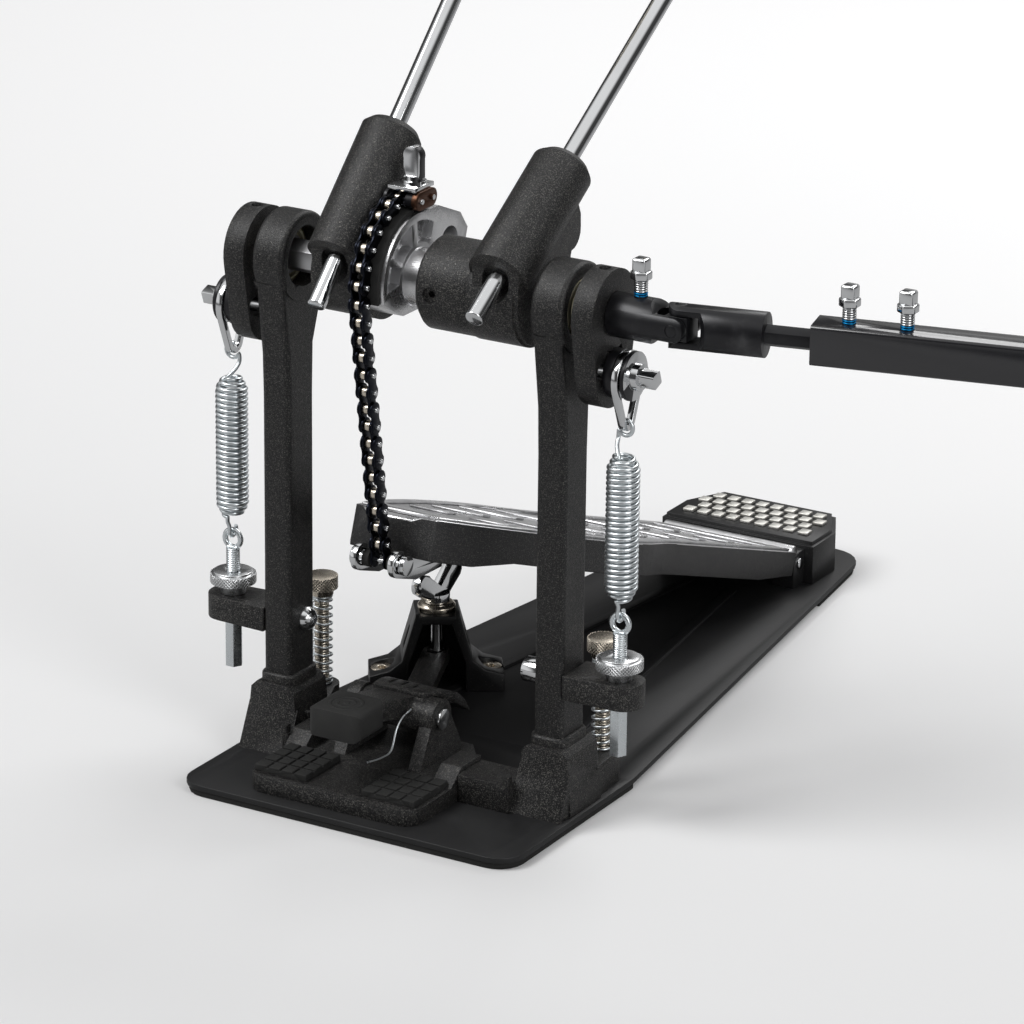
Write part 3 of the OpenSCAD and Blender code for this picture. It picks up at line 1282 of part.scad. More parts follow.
module middle_yoke() {
    color(black) at_shaft() {
        mirror([1, 0, 0]) rotate([90, 0, 0]) fork(36);
        rod_x(35, tube_start + tube_len - 34, rod_af / 2 / cos(30), [0, 0], 6);
    }
}
tube_screws = [14, 38];
module shaft_tube() {
    half = tube_w / 2;
    color(black) at_shaft(tube_start) difference() {
        union() {
            along_x(0, tube_len) round_rect(tube_w, tube_w, 1.5);
            translate([tube_len + 16, 0, 0]) fork(17);
        }
        rod_x(-1, tube_len - 8, (rod_af / 2 + bolt_gap) / cos(30), [0, 0], 6);
        for (x = tube_screws) rod_z(0, 20, 2.9, [x, 0]);
    }
    color(steel) at_shaft(tube_start) for (x = tube_screws) translate([x, 0, 0])
        key_screw(rod_af / 2 / cos(30) + 0.4, half);
}
module far_cross() { color(black) at_shaft(far_x) cross_piece(); }
module far_yoke() {
    color(black) at_shaft(far_x) difference() {
        mirror([1, 0, 0]) rotate([90, 0, 0]) fork(far_socket_x);
        rod_x(far_socket_x - far_socket_len, far_socket_x + 1, hex_af / 2 + run_gap);
        rod_y(-20, 0, 2.9, [far_socket_x - far_socket_len + 4, 0]);
    }
}

// How near a spring's turns come to each other
echo(tension_spring_gap = least_gap(spring_path, spring_wire, 7));
echo(spur_spring_gap = least_gap(spur_coil, spur_wire, 6));

base_plate();
base_pads();
base_casting();
post_left();
post_right();
bearings();
spring_lugs();
lug_screws();
eye_bolts();
tension_nuts();
clamp_casting();
clamp_pads();
pivot_pins();
clamp_lever();
rubber_cap();
clamp_wire();
clamp_tower();
tower_fittings();
clamp_screw();
spur_left();
spur_right();
spur_spring_left();
spur_spring_right();
heel_block();
heel_studs();
footboard();
footboard_inlay();
toe_bracket();
hex_axle();
rocker_left();
tension_pin_left();
holder_left();
rod_left();
beater_left();
cam();
cam_strip();
chain_wrap();
chain_anchor();
chain_link_3();
chain_link_2();
chain_link_1();
chain_run();
toe_pin();
slave_hub();
slave_shaft();
holder_right();
rod_right();
beater_right();
rocker_right();
tension_pin_right();
near_yoke();
strap_left();
strap_right();
spring_left();
spring_right();
joint_cross();
middle_yoke();
shaft_tube();
far_cross();
far_yoke();
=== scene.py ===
"""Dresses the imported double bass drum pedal: finishes, fine pieces, floor, lights and camera."""

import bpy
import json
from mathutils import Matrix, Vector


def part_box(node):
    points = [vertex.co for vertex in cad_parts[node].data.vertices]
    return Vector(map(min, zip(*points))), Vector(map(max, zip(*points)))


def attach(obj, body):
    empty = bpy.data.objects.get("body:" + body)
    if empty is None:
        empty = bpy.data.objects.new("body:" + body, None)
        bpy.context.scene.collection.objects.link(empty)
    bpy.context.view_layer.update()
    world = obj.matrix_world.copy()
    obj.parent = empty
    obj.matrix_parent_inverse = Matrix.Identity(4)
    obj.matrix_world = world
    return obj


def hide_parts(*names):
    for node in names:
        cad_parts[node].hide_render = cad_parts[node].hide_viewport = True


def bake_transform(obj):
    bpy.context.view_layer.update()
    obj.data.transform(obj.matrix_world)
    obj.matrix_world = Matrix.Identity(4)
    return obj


bl_info = {
    "name": "Double bass drum pedal",
    "version": (1, 0, 0),
    "blender": (4, 5, 0),
    "location": "View3D > Sidebar > Pedal",
    "description": "Finishes and fine pieces of a chain-driven double bass drum pedal",
    "category": "Add Mesh",
}

import json
import math

import bmesh
import bpy
from bpy.props import FloatProperty, FloatVectorProperty, IntProperty, PointerProperty
from bpy.types import Operator, Panel, PropertyGroup
from mathutils import Matrix, Vector

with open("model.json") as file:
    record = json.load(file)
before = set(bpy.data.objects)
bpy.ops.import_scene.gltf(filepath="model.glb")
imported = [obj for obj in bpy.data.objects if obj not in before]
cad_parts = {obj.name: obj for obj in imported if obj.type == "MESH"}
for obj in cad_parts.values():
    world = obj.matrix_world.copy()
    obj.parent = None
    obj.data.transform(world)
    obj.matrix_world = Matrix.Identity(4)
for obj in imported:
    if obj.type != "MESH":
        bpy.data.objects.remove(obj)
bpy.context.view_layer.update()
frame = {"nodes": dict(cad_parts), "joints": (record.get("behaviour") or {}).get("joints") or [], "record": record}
MM = 0.001


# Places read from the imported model

def middle(node):
    """Centre of a node's box."""
    low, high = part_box(node)
    return (low + high) / 2


def joint_place(name):
    """Where a joint stands at rest."""
    return next(joint for joint in frame["joints"] if joint["name"] == name)["pos_m"]


AXLE_Z = joint_place("beater_swing")[2]
CHAIN_X = middle("chain_run").x
FIRST_PIN = Vector(joint_place("chain_bend_0"))
SIDES = ((1, "right"), (-1, "left"))


# Places and sizes in millimetres that the wires are bent to

SPRING_AXIS = (97.0, -3.0)
EYE_Z = 97.0
LOW_HOOK_R = 2.625
TOP_HOOK_R = 3.343
TOP_HOOK_Y = -1.603
STRAP_BAR_Z = 179.27
SPRING_WIRE_R = 0.925
SPRING_COIL_R = 6.3
SPRING_COIL_Z = (104.0, 167.5)
SPRING_TURNS = 27
SPRING_NARROW = 2.4
SPUR_AXIS = (71.5, 29.0)
SPUR_WIRE_R = 0.6
SPUR_COIL_R = 4.4
SPUR_COIL_Z = (20.65, 61.35)
SPUR_TURNS = 11
CLAMP_WIRE_R = 0.45
CLAMP_WIRE = [(0, -12, 36.5), (0, -14, 36), (0, -19, 35), (0, -24, 31), (0, -28, 23), (-3, -31, 20),
              (-8, -35, 18)]

# Threads in metres: radius, pitch, lowest and highest point

EYE_BOLT_THREAD = (0.003, 0.001, 0.06, 0.09)
SPUR_THREAD = (0.0032, 0.0012, 0.006, 0.062)

# The chain in metres, with how many pins go round the cam and how many links run down to the toe

CAM_PINS = 8
RUN_LINKS = 15
PITCH = 0.008
PLATE_THICK = 0.0009
PLATE_HIGH = 0.007
WAIST_R = 0.006
WAIST_OUT = 0.0086
INNER_PLATE_X = 0.00205
OUTER_PLATE_X = 0.0031
ROLLER_R = 0.00248
ROLLER_HALF = 0.0015
PIN_R = 0.00115
PIN_HALF = 0.0049

# Other sizes in metres; where a piece changes its finish is a place in X, a height or a radius

ROD_R = 0.004
HEEL_BAR_R = 0.0032
ANCHOR_END_X = -0.0173
ANCHOR_COLLAR_X = (-0.0085, -0.0051)
ANCHOR_PLATE_X = (-0.00505, -0.00245)
ANCHOR_PLATE_TOP = 0.2645
TOE_SLEEVE_HALF = 0.0078
TENSION_PIN_BRIGHT_R = 0.0068
POST_HEAD = 0.012
POST_HEAD_EASE = 0.0022
POST_SIDE_EASE = 0.0024
COLLAR_HIGH = 0.0042
COLLAR_WIDER = 0.0036
COLLAR_CORNER = 0.005
COLLAR_EASE = 0.0014

# A key screw: radii and head in metres, then heights over its seat in millimetres, which are also its turns

KEY_THREAD_R = 0.0025
KEY_RIDGE_R = 0.00044
KEY_COLLAR_R = 0.0047
KEY_HEAD = 0.0062
KEY_THREAD_TURNS = 7
KEY_PATCH_TURNS = 2
KEY_COLLAR_Z = (7.3, 11)
KEY_HEAD_Z = 13.4

# How far the near yoke's key screw stands before the near joint, how far the tube's two stand after it, and
# how high the flats that they stand on are over the shaft's middle, in metres

YOKE_SCREW = 0.019
TUBE_SCREWS = (0.070, 0.094)
YOKE_FLAT = 0.0095
TUBE_FLAT = 0.0085


# Shader nodes

class Sock:
    """A shader socket that takes part in sums: arithmetic on it adds Math nodes."""

    def __init__(self, shade, socket):
        self.shade = shade
        self.socket = socket

    def math(self, operation, *others):
        """A Math node on this socket and others."""
        return self.shade.node("ShaderNodeMath", {"operation": operation}, [self, *others])

    def __add__(self, other):
        return self.math("ADD", other)

    def __radd__(self, other):
        return self.math("ADD", other)

    def __sub__(self, other):
        return self.math("SUBTRACT", other)

    def __rsub__(self, other):
        return self.shade.node("ShaderNodeMath", {"operation": "SUBTRACT"}, [other, self])

    def __mul__(self, other):
        return self.math("MULTIPLY", other)

    def __rmul__(self, other):
        return self.math("MULTIPLY", other)

    def __gt__(self, other):
        return self.math("GREATER_THAN", other)

    def __lt__(self, other):
        return self.math("LESS_THAN", other)

    def __abs__(self):
        return self.math("ABSOLUTE")

    def fade(self, start, end):
        """0 below start, 1 above end, and smooth between."""
        return self.shade.node("ShaderNodeMapRange", {"interpolation_type": "SMOOTHSTEP"},
                               [self, start, end, 0.0, 1.0])


class Shade:
    """One material or world, and the only way that its nodes are added."""

    def __init__(self, name, kind="materials", shader="Principled BSDF", place="Object"):
        self.material = getattr(bpy.data, kind).new(name)
        self.material.use_nodes = True
        self.tree = self.material.node_tree
        self.bsdf = self.tree.nodes[shader]
        self.place = self.node("ShaderNodeTexCoord").socket.node.outputs[place]

    def node(self, kind, settings=None, inputs=(), output=0):
        """Adds a node with its settings and the values or links of its sockets, and gives one output."""
        added = self.tree.nodes.new(kind)
        for key, value in (settings or {}).items():
            setattr(added, key, value)
        pairs = inputs.items() if isinstance(inputs, dict) else enumerate(inputs)
        for key, value in pairs:
            self.give(added.inputs[key], value)
        return Sock(self, added.outputs[output])

    def give(self, socket, value):
        """Links a socket, or sets its value."""
        if isinstance(value, Sock):
            self.tree.links.new(value.socket, socket)
        elif socket.type == "RGBA" and len(value) == 3:
            socket.default_value = (*value, 1.0)
        else:
            socket.default_value = value

    def coordinates(self):
        """The place in the object, in metres, or the direction in a world."""
        return Sock(self, self.place)

    def xyz(self):
        """The three coordinates, each as a socket."""
        split = self.node("ShaderNodeSeparateXYZ", inputs=[self.coordinates()]).socket.node
        return [Sock(self, split.outputs[i]) for i in range(3)]

    def ray(self, kind):
        """1 for rays of one kind and 0 for the others."""
        path = self.node("ShaderNodeLightPath").socket.node
        return Sock(self, path.outputs[kind])

    def stretched(self, scale):
        """The coordinates scaled along each axis, so that a pattern is drawn out where the scale is small."""
        return self.node("ShaderNodeMapping", inputs={"Vector": self.coordinates(), "Scale": scale})

    def noise(self, scale, detail=3.0, rough=0.55, where=None):
        """Soft noise between 0 and 1."""
        return self.node("ShaderNodeTexNoise", inputs={"Vector": where or self.coordinates(), "Scale": scale,
                                                       "Detail": detail, "Roughness": rough})

    def cells(self, scale):
        """Distance from the middles of scattered cells."""
        return self.node("ShaderNodeTexVoronoi", inputs={"Vector": self.coordinates(), "Scale": scale})

    def mix(self, factor, first, second):
        """A colour between two."""
        return self.node("ShaderNodeMix", {"data_type": "RGBA"}, {0: factor, 6: first, 7: second}, output=2)

    def set(self, **values):
        """Gives the shader's sockets their values, each named with _ for a space."""
        for name, value in values.items():
            self.give(self.bsdf.inputs[name.replace("_", " ")], value)
        return self

    def bump(self, height, distance, strength=1.0):
        """Lets a height tilt the surface; a height of 1 stands out by the distance."""
        bumped = self.node("ShaderNodeBump", inputs={"Strength": strength, "Distance": distance,
                                                     "Height": height})
        self.give(self.bsdf.inputs["Normal"], bumped)
        return self


# Finishes: a pattern's scale is in repeats per metre, and a bump's distance in metres

def powder_coat(settings, name="powder_coat", glints=1.0, colour=None):
    """Wrinkled black powder coat with fine pale glints in its grain, painted into its colour as highlights, and
    metallic flakes that are painted pale too.
    """
    s = Shade(name)
    grain = s.noise(1500.0, 3.0, 0.65)
    # painted highlights: the glint mask lightens the colour in fine specks where the grain would catch light
    painted_glint = s.noise(1700.0, 2.0, 0.7, where=s.stretched((1.0, 1.0, 1.3))).fade(0.54, 0.66) * glints
    # sparks are partly real metallic flakes and partly painted glints, since they also lighten the colour
    spark = s.cells(1500.0).fade(0.42, 0.15) * s.noise(700.0, 2.0).fade(0.42, 0.62) * glints
    broad = s.noise(30.0, 2.0)
    # painted glints: glints and sparks lighten the base colour towards the glint colour
    painted_glints_and_flakes = (painted_glint * 0.5 + spark * 0.9).math("MINIMUM", 1.0)
    s.set(Base_Color=s.mix(painted_glints_and_flakes, colour or settings.powder, settings.painted_glint), Metallic=spark * 0.6,
          Roughness=0.34 + broad * 0.10 - spark * 0.10, Specular_IOR_Level=0.42)
    return s.bump(grain + painted_glint * 0.3, 0.00022).material


def satin_black(settings):
    """Smooth satin paint with a faint orange peel and faint glints painted into its colour as pale specks."""
    s = Shade("satin_black")
    peel = s.noise(420.0, 2.0)
    rub = s.noise(22.0, 4.0, 0.65)
    # painted highlights: fine specks lightened towards the glint colour
    painted_glint_speck = s.noise(1700.0, 1.0).fade(0.66, 0.74)
    s.set(Base_Color=s.mix(painted_glint_speck * 0.3, settings.satin, settings.painted_glint), Roughness=0.34 + rub * 0.12,
          Specular_IOR_Level=0.42)
    return s.bump(peel, 0.00010, 0.4).material


def plate_paint(settings):
    """Satin paint of the floor plate, scuffed a little lighter in broad sweeps."""
    s = Shade("plate_paint")
    scuff = s.noise(14.0, 5.0, 0.6)
    fine = s.noise(700.0, 2.0)
    s.set(Base_Color=s.mix(scuff.fade(0.45, 0.8) * 0.5, settings.plate, settings.plate_scuff),
          Roughness=0.38 + scuff * 0.16, Specular_IOR_Level=0.38)
    return s.bump(fine, 0.00006, 0.3).material


def moulded_rubber(settings):
    """Matt rubber with bloom in soft random patches."""
    s = Shade("moulded_rubber")
    bloom = s.noise(60.0, 4.0, 0.6)
    grain = s.noise(1200.0, 2.0)
    s.set(Base_Color=s.mix(bloom * 0.6, settings.rubber, settings.rubber_bloom),
          Roughness=0.62 + bloom * 0.16, Specular_IOR_Level=0.22)
    return s.bump(grain, 0.00008, 0.4).material


def cap_rubber(settings):
    """Rubber of the clamp cap, with rings moulded in its top."""
    ring_pitch = 0.0031
    rings_end = 0.0088
    s = Shade("cap_rubber")
    at = middle("rubber_cap")
    x, y, z = s.xyz()
    far = ((x - at.x) * (x - at.x) + (y - at.y) * (y - at.y)).math("SQRT")
    ring = (far * (2 * math.pi / ring_pitch)).math("SINE").fade(-0.2, 0.9)
    inside = 1 - far.fade(rings_end, rings_end + 0.0006)
    top = z.fade(at.z + 0.0050, at.z + 0.0058)
    bloom = s.noise(70.0, 4.0, 0.6)
    s.set(Base_Color=s.mix(bloom * 0.6, settings.rubber, settings.rubber_bloom),
          Roughness=0.58 + bloom * 0.14, Specular_IOR_Level=0.28)
    return s.bump(ring * inside * top + s.noise(1200.0, 2.0) * 0.12, 0.0006, 0.8).material


def black_oxide(settings):
    """Oiled black oxide on turned steel, worn in soft patches."""
    worn = (0.055, 0.055, 0.058)
    s = Shade("black_oxide")
    turned = s.noise(160.0, 3.0, where=s.stretched((12.0, 1.0, 1.0)))
    wear = s.noise(55.0, 4.0, 0.6)
    s.set(Base_Color=s.mix(wear.fade(0.5, 0.85), settings.oxide, worn), Metallic=0.35,
          Roughness=0.24 + wear * 0.16, Specular_IOR_Level=0.5)
    return s.bump(turned, 0.00004, 0.3).material


def gloss_black(settings):
    """Gloss paint of the sliding tube."""
    dusty = (0.03, 0.03, 0.032)
    s = Shade("gloss_black")
    dust = s.noise(300.0, 4.0, 0.6)
    s.set(Base_Color=s.mix(dust * 0.3, settings.oxide, dusty), Roughness=0.15 + dust * 0.10,
          Coat_Weight=0.5, Coat_Roughness=0.1)
    return s.bump(s.noise(240.0, 2.0), 0.00003, 0.2).material


def metal(name, colour, rough, tint=None, drawn=(1, 1, 1), height=0.00002):
    """Bare or plated metal with handling marks; drawn stretches the marks along one axis."""
    s = Shade(name)
    marks = s.noise(260.0, 4.0, 0.6, where=s.stretched(drawn))
    cloud = s.noise(34.0, 3.0)
    second = tint or tuple(c * 0.93 for c in colour)
    s.set(Base_Color=s.mix(cloud.fade(0.35, 0.7), colour, second), Metallic=1.0,
          Roughness=rough + marks * rough * 0.7)
    return s.bump(marks, height, 0.4).material


def pressed_felt(settings):
    """Pressed wool felt: soft fibres and a faint mottle."""
    s = Shade("pressed_felt")
    fibre = s.noise(900.0, 5.0, 0.75, where=s.stretched((1.0, 1.0, 2.2)))
    mottle = s.noise(45.0, 3.0)
    s.set(Base_Color=s.mix(mottle, settings.felt, tuple(c * 0.8 for c in settings.felt)), Roughness=0.95,
          Sheen_Weight=0.35, Specular_IOR_Level=0.15)
    return s.bump(fibre, 0.0006, 0.8).material


def cast_alloy(settings):
    """Polished die casting: bright, with darker and rougher cloudy patches and faint tool marks."""
    s = Shade("cast_alloy")
    cloud = s.noise(60.0, 4.0, 0.6)
    pit = s.cells(1100.0)
    s.set(Base_Color=s.mix(cloud.fade(0.3, 0.75), settings.alloy, tuple(c * 0.7 for c in settings.alloy)),
          Metallic=1.0, Roughness=0.18 + cloud * 0.22)
    return s.bump(cloud * 2.0 + pit * 0.3, 0.00018, 0.5).material


def turned_screw(name, colour, axis, head_r, teeth, thread=None):
    """Plated screws on the lines X = +-axis[0], Y = axis[1], in millimetres: knurled on the head's rim, and
    threaded where thread gives the thread's radius, pitch, lowest and highest point in metres. The grooves of the
    knurl and of the thread are painted darker, as painted shade."""
    knurl_lead = 0.0016
    s = Shade(name)
    x, y, z = s.xyz()
    across = abs(x) - axis[0] * MM
    along = y - axis[1] * MM
    far = (across * across + along * along).math("SQRT")
    turn = along.math("ARCTAN2", across)
    round_head = turn * float(teeth)
    lean = z * (2 * math.pi / knurl_lead)
    knurl = (round_head + lean).math("SINE").math("MAXIMUM", (round_head - lean).math("SINE"))
    rim = far.fade(head_r - 0.0006, head_r - 0.0002)
    shape = knurl * rim
    # painted shade: the knurl's grooves are painted darker
    painted_groove_shade = (1 - knurl.fade(-0.1, 0.7)) * rim
    if thread:
        radius, pitch, low, high = thread
        shank = (1 - far.fade(radius + 0.0002, radius + 0.0004)) * (z > low) * (z < high)
        groove = (z * (2 * math.pi / pitch) + turn).math("SINE")
        shape = shape + groove * shank * 0.8
        # painted shade: the thread's grooves are painted darker too
        painted_groove_shade = painted_groove_shade + (1 - groove.fade(-0.8, 0.3)) * shank
    s.set(Base_Color=s.mix(painted_groove_shade * 0.6, colour, tuple(c * 0.4 for c in colour)), Metallic=1.0,
          Roughness=0.2 + s.noise(240.0, 3.0) * 0.14)
    return s.bump(shape, 0.0003, 0.7).material


# Modelling

def nothing_selected():
    """Leaves object mode with nothing selected."""
    if bpy.context.object and bpy.context.object.mode != "OBJECT":
        bpy.ops.object.mode_set(mode="OBJECT")
    bpy.ops.object.select_all(action="DESELECT")


def alone(obj):
    """Leaves one object selected and active."""
    nothing_selected()
    obj.select_set(True)
    bpy.context.view_layer.objects.active = obj


def added(operator, name, **how):
    """Adds a primitive with nothing else selected, names it and returns it."""
    nothing_selected()
    operator(**how)
    obj = bpy.context.object
    obj.name = name
    obj.data.name = name
    return obj


def settle(obj):
    """Puts an object's place and turn into its mesh."""
    alone(obj)
    bpy.ops.object.transform_apply(location=True, rotation=True, scale=True)
    return obj


def finish_with(obj, kind, **how):
    """Adds a modifier and applies it."""
    alone(obj)
    modifier = obj.modifiers.new(kind.title(), kind)
    for key, value in how.items():
        setattr(modifier, key, value)
    bpy.ops.object.modifier_apply(modifier=modifier.name)


def edit(obj, *steps):
    """Runs edit-mode steps on the whole mesh."""
    alone(obj)
    bpy.ops.object.mode_set(mode="EDIT")
    bpy.ops.mesh.select_all(action="SELECT")
    for step, how in steps:
        step(**how)
    bpy.ops.object.mode_set(mode="OBJECT")


def joined(objects, name):
    """Joins objects into the first one."""
    alone(objects[0])
    for obj in objects[1:]:
        obj.select_set(True)
    bpy.ops.object.join()
    objects[0].name = name
    objects[0].data.name = name
    return objects[0]


def copied(obj, name, matrix):
    """A copy with its own mesh, moved by a matrix."""
    other = obj.copy()
    other.data = obj.data.copy()
    other.name = name
    bpy.context.scene.collection.objects.link(other)
    other.data.transform(matrix)
    return other


def smooth(obj, degrees=35.0):
    """Shades an object smooth wherever its faces meet at less than an angle."""
    alone(obj)
    bpy.ops.object.shade_smooth_by_angle(angle=math.radians(degrees))
    return obj


def paint(obj, material):
    """Gives an object one material all over."""
    obj.data.materials.clear()
    obj.data.materials.append(material)
    return obj


def bodied(node):
    """The body that carries a node."""
    return next(name for name, nodes in frame["record"]["behaviour"]["bodies"].items() if node in nodes)


def stand_for(node):
    """Hides a node so that a piece takes its place; the node's material slot in the record is looked up but not
    used.
    """
    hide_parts(node)
    next(part["material_slot"] for part in frame["record"]["subparts"] if part["node"] == node)


def place(obj, node):
    """Lets a piece stand for a node and move with its body."""
    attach(obj, bodied(node))
    stand_for(node)


def eased(node, edge, material):
    """A copy of a node's form with its edges eased, as a casting or a turned part has them."""
    obj = frame["nodes"][node].copy()
    obj.data = obj.data.copy()
    for key in list(obj.keys()):
        del obj[key]
    obj.name = node + "_finish"
    obj.data.name = obj.name
    obj.parent = None
    bpy.context.scene.collection.objects.link(obj)
    alone(obj)
    obj.data.normals_split_custom_set_from_vertices([(0, 0, 0)] * len(obj.data.vertices))
    edit(obj, (bpy.ops.mesh.remove_doubles, {"threshold": 0.000004}),
         (bpy.ops.mesh.dissolve_limited, {"angle_limit": math.radians(0.6)}))
    if edge > 0:
        finish_with(obj, "BEVEL", width=edge, segments=2, limit_method="ANGLE",
                    angle_limit=math.radians(30), miter_outer="MITER_ARC")
    smooth(obj)
    return paint(obj, material)


def rounded_off(obj, width, test, segments=4):
    """Rounds the sharp edges whose two ends pass a test."""
    alone(obj)
    bpy.ops.object.mode_set(mode="EDIT")
    bpy.ops.mesh.select_mode(type="EDGE")
    bpy.ops.mesh.select_all(action="DESELECT")
    shape = bmesh.from_edit_mesh(obj.data)
    for edge in shape.edges:
        sharp = len(edge.link_faces) == 2 and edge.calc_face_angle() > math.radians(50)
        edge.select_set(bool(sharp and test(edge.verts[0].co, edge.verts[1].co)))
    bmesh.update_edit_mesh(obj.data)
    bpy.ops.mesh.bevel(offset=width, segments=segments, affect="EDGES", clamp_overlap=False)
    bpy.ops.mesh.select_all(action="SELECT")
    bpy.ops.mesh.normals_make_consistent(inside=False)
    bpy.ops.object.mode_set(mode="OBJECT")
    return smooth(obj, 40.0)


# Sizes and colours that a user would change

def colour_setting(name, description, *default):
    """A colour that the user picks."""
    return FloatVectorProperty(name=name, description=description, subtype="COLOR", default=default)


class PedalSettings(PropertyGroup):
    """Eases and colours of the pedal."""
    edge: FloatProperty(name="Edge", description="Ease on machined edges", default=0.0003, unit="LENGTH")
    cast_edge: FloatProperty(name="Casting edge", description="Ease on cast edges", default=0.0007,
                             unit="LENGTH")
    felt_ease: FloatProperty(name="Felt ease", description="Ease on the beaters' rims", default=0.003,
                             unit="LENGTH")
    wire_sides: IntProperty(name="Wire sides", description="Sides round a spring wire", default=12, min=8,
                            max=24)
    powder: colour_setting("Powder coat", "Colour of the castings", 0.0045, 0.0045, 0.0050)
    # painted glints: the pale colour that the coats' painted highlights are mixed towards
    painted_glint: colour_setting("Glint", "Colour of the glints in the coat", 0.185, 0.178, 0.163)
    board: colour_setting("Footboard coat", "Colour of the footboard's sides", 0.018, 0.018, 0.019)
    satin: colour_setting("Satin paint", "Colour of the tower and the heel block", 0.009, 0.009, 0.0095)
    plate: colour_setting("Plate paint", "Colour of the floor plate", 0.010, 0.010, 0.0105)
    plate_scuff: colour_setting("Plate scuff", "Colour of the scuffed paint", 0.026, 0.026, 0.027)
    rubber: colour_setting("Rubber", "Colour of rubber", 0.012, 0.012, 0.012)
    rubber_bloom: colour_setting("Rubber bloom", "Colour of bloomed rubber", 0.040, 0.040, 0.038)
    oxide: colour_setting("Black oxide", "Colour of blackened steel", 0.012, 0.012, 0.014)
    chrome: colour_setting("Chrome", "Colour of chrome plate", 0.74, 0.75, 0.76)
    steel: colour_setting("Steel", "Colour of the brushed axles", 0.52, 0.52, 0.53)
    zinc: colour_setting("Zinc", "Colour of zinc plate", 0.74, 0.78, 0.80)
    nickel: colour_setting("Nickel", "Colour of warm nickel plate", 0.70, 0.63, 0.53)
    stud: colour_setting("Studs", "Colour of the heel block's studs", 0.72, 0.71, 0.67)
    blued: colour_setting("Blued steel", "Colour of the chain's plates", 0.016, 0.018, 0.025)
    brass: colour_setting("Brass", "Colour of the bearings", 0.47, 0.44, 0.32)
    copper: colour_setting("Copper brown", "Colour of the chain's anchor plate", 0.11, 0.055, 0.035)
    patch: colour_setting("Locking patch", "Colour of the patch on the key screws", 0.01, 0.20, 0.45)
    alloy: colour_setting("Alloy", "Colour of polished die casting", 0.70, 0.70, 0.71)
    felt: colour_setting("Felt", "Colour of the beaters", 0.62, 0.58, 0.50)
    floor: colour_setting("Floor", "Colour of the floor", 0.80, 0.80, 0.80)


# How each finish is made from the pedal's settings

MAKERS = {
    "powder coat": powder_coat,
    "post coat": lambda pedal: powder_coat(pedal, "post_coat", glints=0.6),
    "board coat": lambda pedal: powder_coat(pedal, "board_coat", glints=0.5, colour=pedal.board),
    "satin black": satin_black,
    "plate paint": plate_paint,
    "rubber": moulded_rubber,
    "cap rubber": cap_rubber,
    "black oxide": black_oxide,
    "gloss black": gloss_black,
    "felt": pressed_felt,
    "alloy": cast_alloy,
    "chrome": lambda pedal: metal("chrome", pedal.chrome, rough=0.07, height=0.000001),
    "axle steel": lambda pedal: metal("axle_steel", pedal.steel, rough=0.24, drawn=(1.0, 30.0, 30.0)),
    "zinc": lambda pedal: metal("zinc", pedal.zinc, rough=0.22),
    "nickel": lambda pedal: metal("nickel", pedal.nickel, rough=0.2),
    "stud": lambda pedal: metal("stud_nickel", pedal.stud, rough=0.36),
    "blued": lambda pedal: metal("blued_steel", pedal.blued, rough=0.24, tint=(0.010, 0.011, 0.016)),
    "brass": lambda pedal: metal("dull_brass", pedal.brass, rough=0.3),
    "copper": lambda pedal: metal("copper_brown", pedal.copper, rough=0.28),
    "blue patch": lambda pedal: metal("blue_patch", pedal.patch, rough=0.3),
    "eye bolt": lambda pedal: turned_screw("eye_bolt", pedal.zinc, SPRING_AXIS, head_r=0.02, teeth=8,
                                           thread=EYE_BOLT_THREAD),
    "nut": lambda pedal: turned_screw("knurled_nut", pedal.chrome, SPRING_AXIS, head_r=0.0102, teeth=40),
    "spur": lambda pedal: turned_screw("spur_finish", pedal.nickel, SPUR_AXIS, head_r=0.00725, teeth=30,
                                       thread=SPUR_THREAD),
}
FINISHES = {}


def finish_of(name):
    """The finish of that name, made when it is first asked for."""
    if name not in FINISHES:
        FINISHES[name] = MAKERS[name](bpy.context.scene.pedal)
    return FINISHES[name]


def dress(edge, **finishes):
    """Eases the edges of each named node and gives it its finish."""
    for node, finish in finishes.items():
        place(eased(node, edge, finish_of(finish)), node)


class PedalOperator:
    """What the pedal's operators share."""
    bl_options = {"REGISTER", "UNDO"}

    @classmethod
    def poll(cls, context):
        return hasattr(context.scene, "pedal")


class PEDAL_OT_castings(PedalOperator, Operator):
    """Castings: base, clamp, lugs, hub, beater holders, rockers and heel block"""
    bl_idname = "pedal.castings"
    bl_label = "Castings"

    def execute(self, context):
        edge = context.scene.pedal.cast_edge
        dress(edge, spring_lugs="powder coat", holder_left="powder coat", holder_right="powder coat",
              slave_hub="powder coat", clamp_lever="powder coat", heel_block="satin black")
        dress(2.2 * edge, base_casting="powder coat", clamp_casting="powder coat", rocker_left="post coat",
              rocker_right="post coat")
        return {"FINISHED"}


class PEDAL_OT_frame(PedalOperator, Operator):
    """Floor plate, pads, clamp tower and bearings"""
    bl_idname = "pedal.frame"
    bl_label = "Plate and tower"

    def execute(self, context):
        dress(context.scene.pedal.cast_edge, base_plate="plate paint", base_pads="rubber",
              clamp_pads="rubber", clamp_tower="satin black", bearings="brass")
        return {"FINISHED"}


class PEDAL_OT_fasteners(PedalOperator, Operator):
    """Screws, bolts, nuts and pins"""
    bl_idname = "pedal.fasteners"
    bl_label = "Fasteners"

    def execute(self, context):
        dress(context.scene.pedal.edge, lug_screws="chrome", eye_bolts="eye bolt", tension_nuts="nut",
              pivot_pins="chrome", tower_fittings="nickel", clamp_screw="chrome", heel_studs="stud")
        return {"FINISHED"}


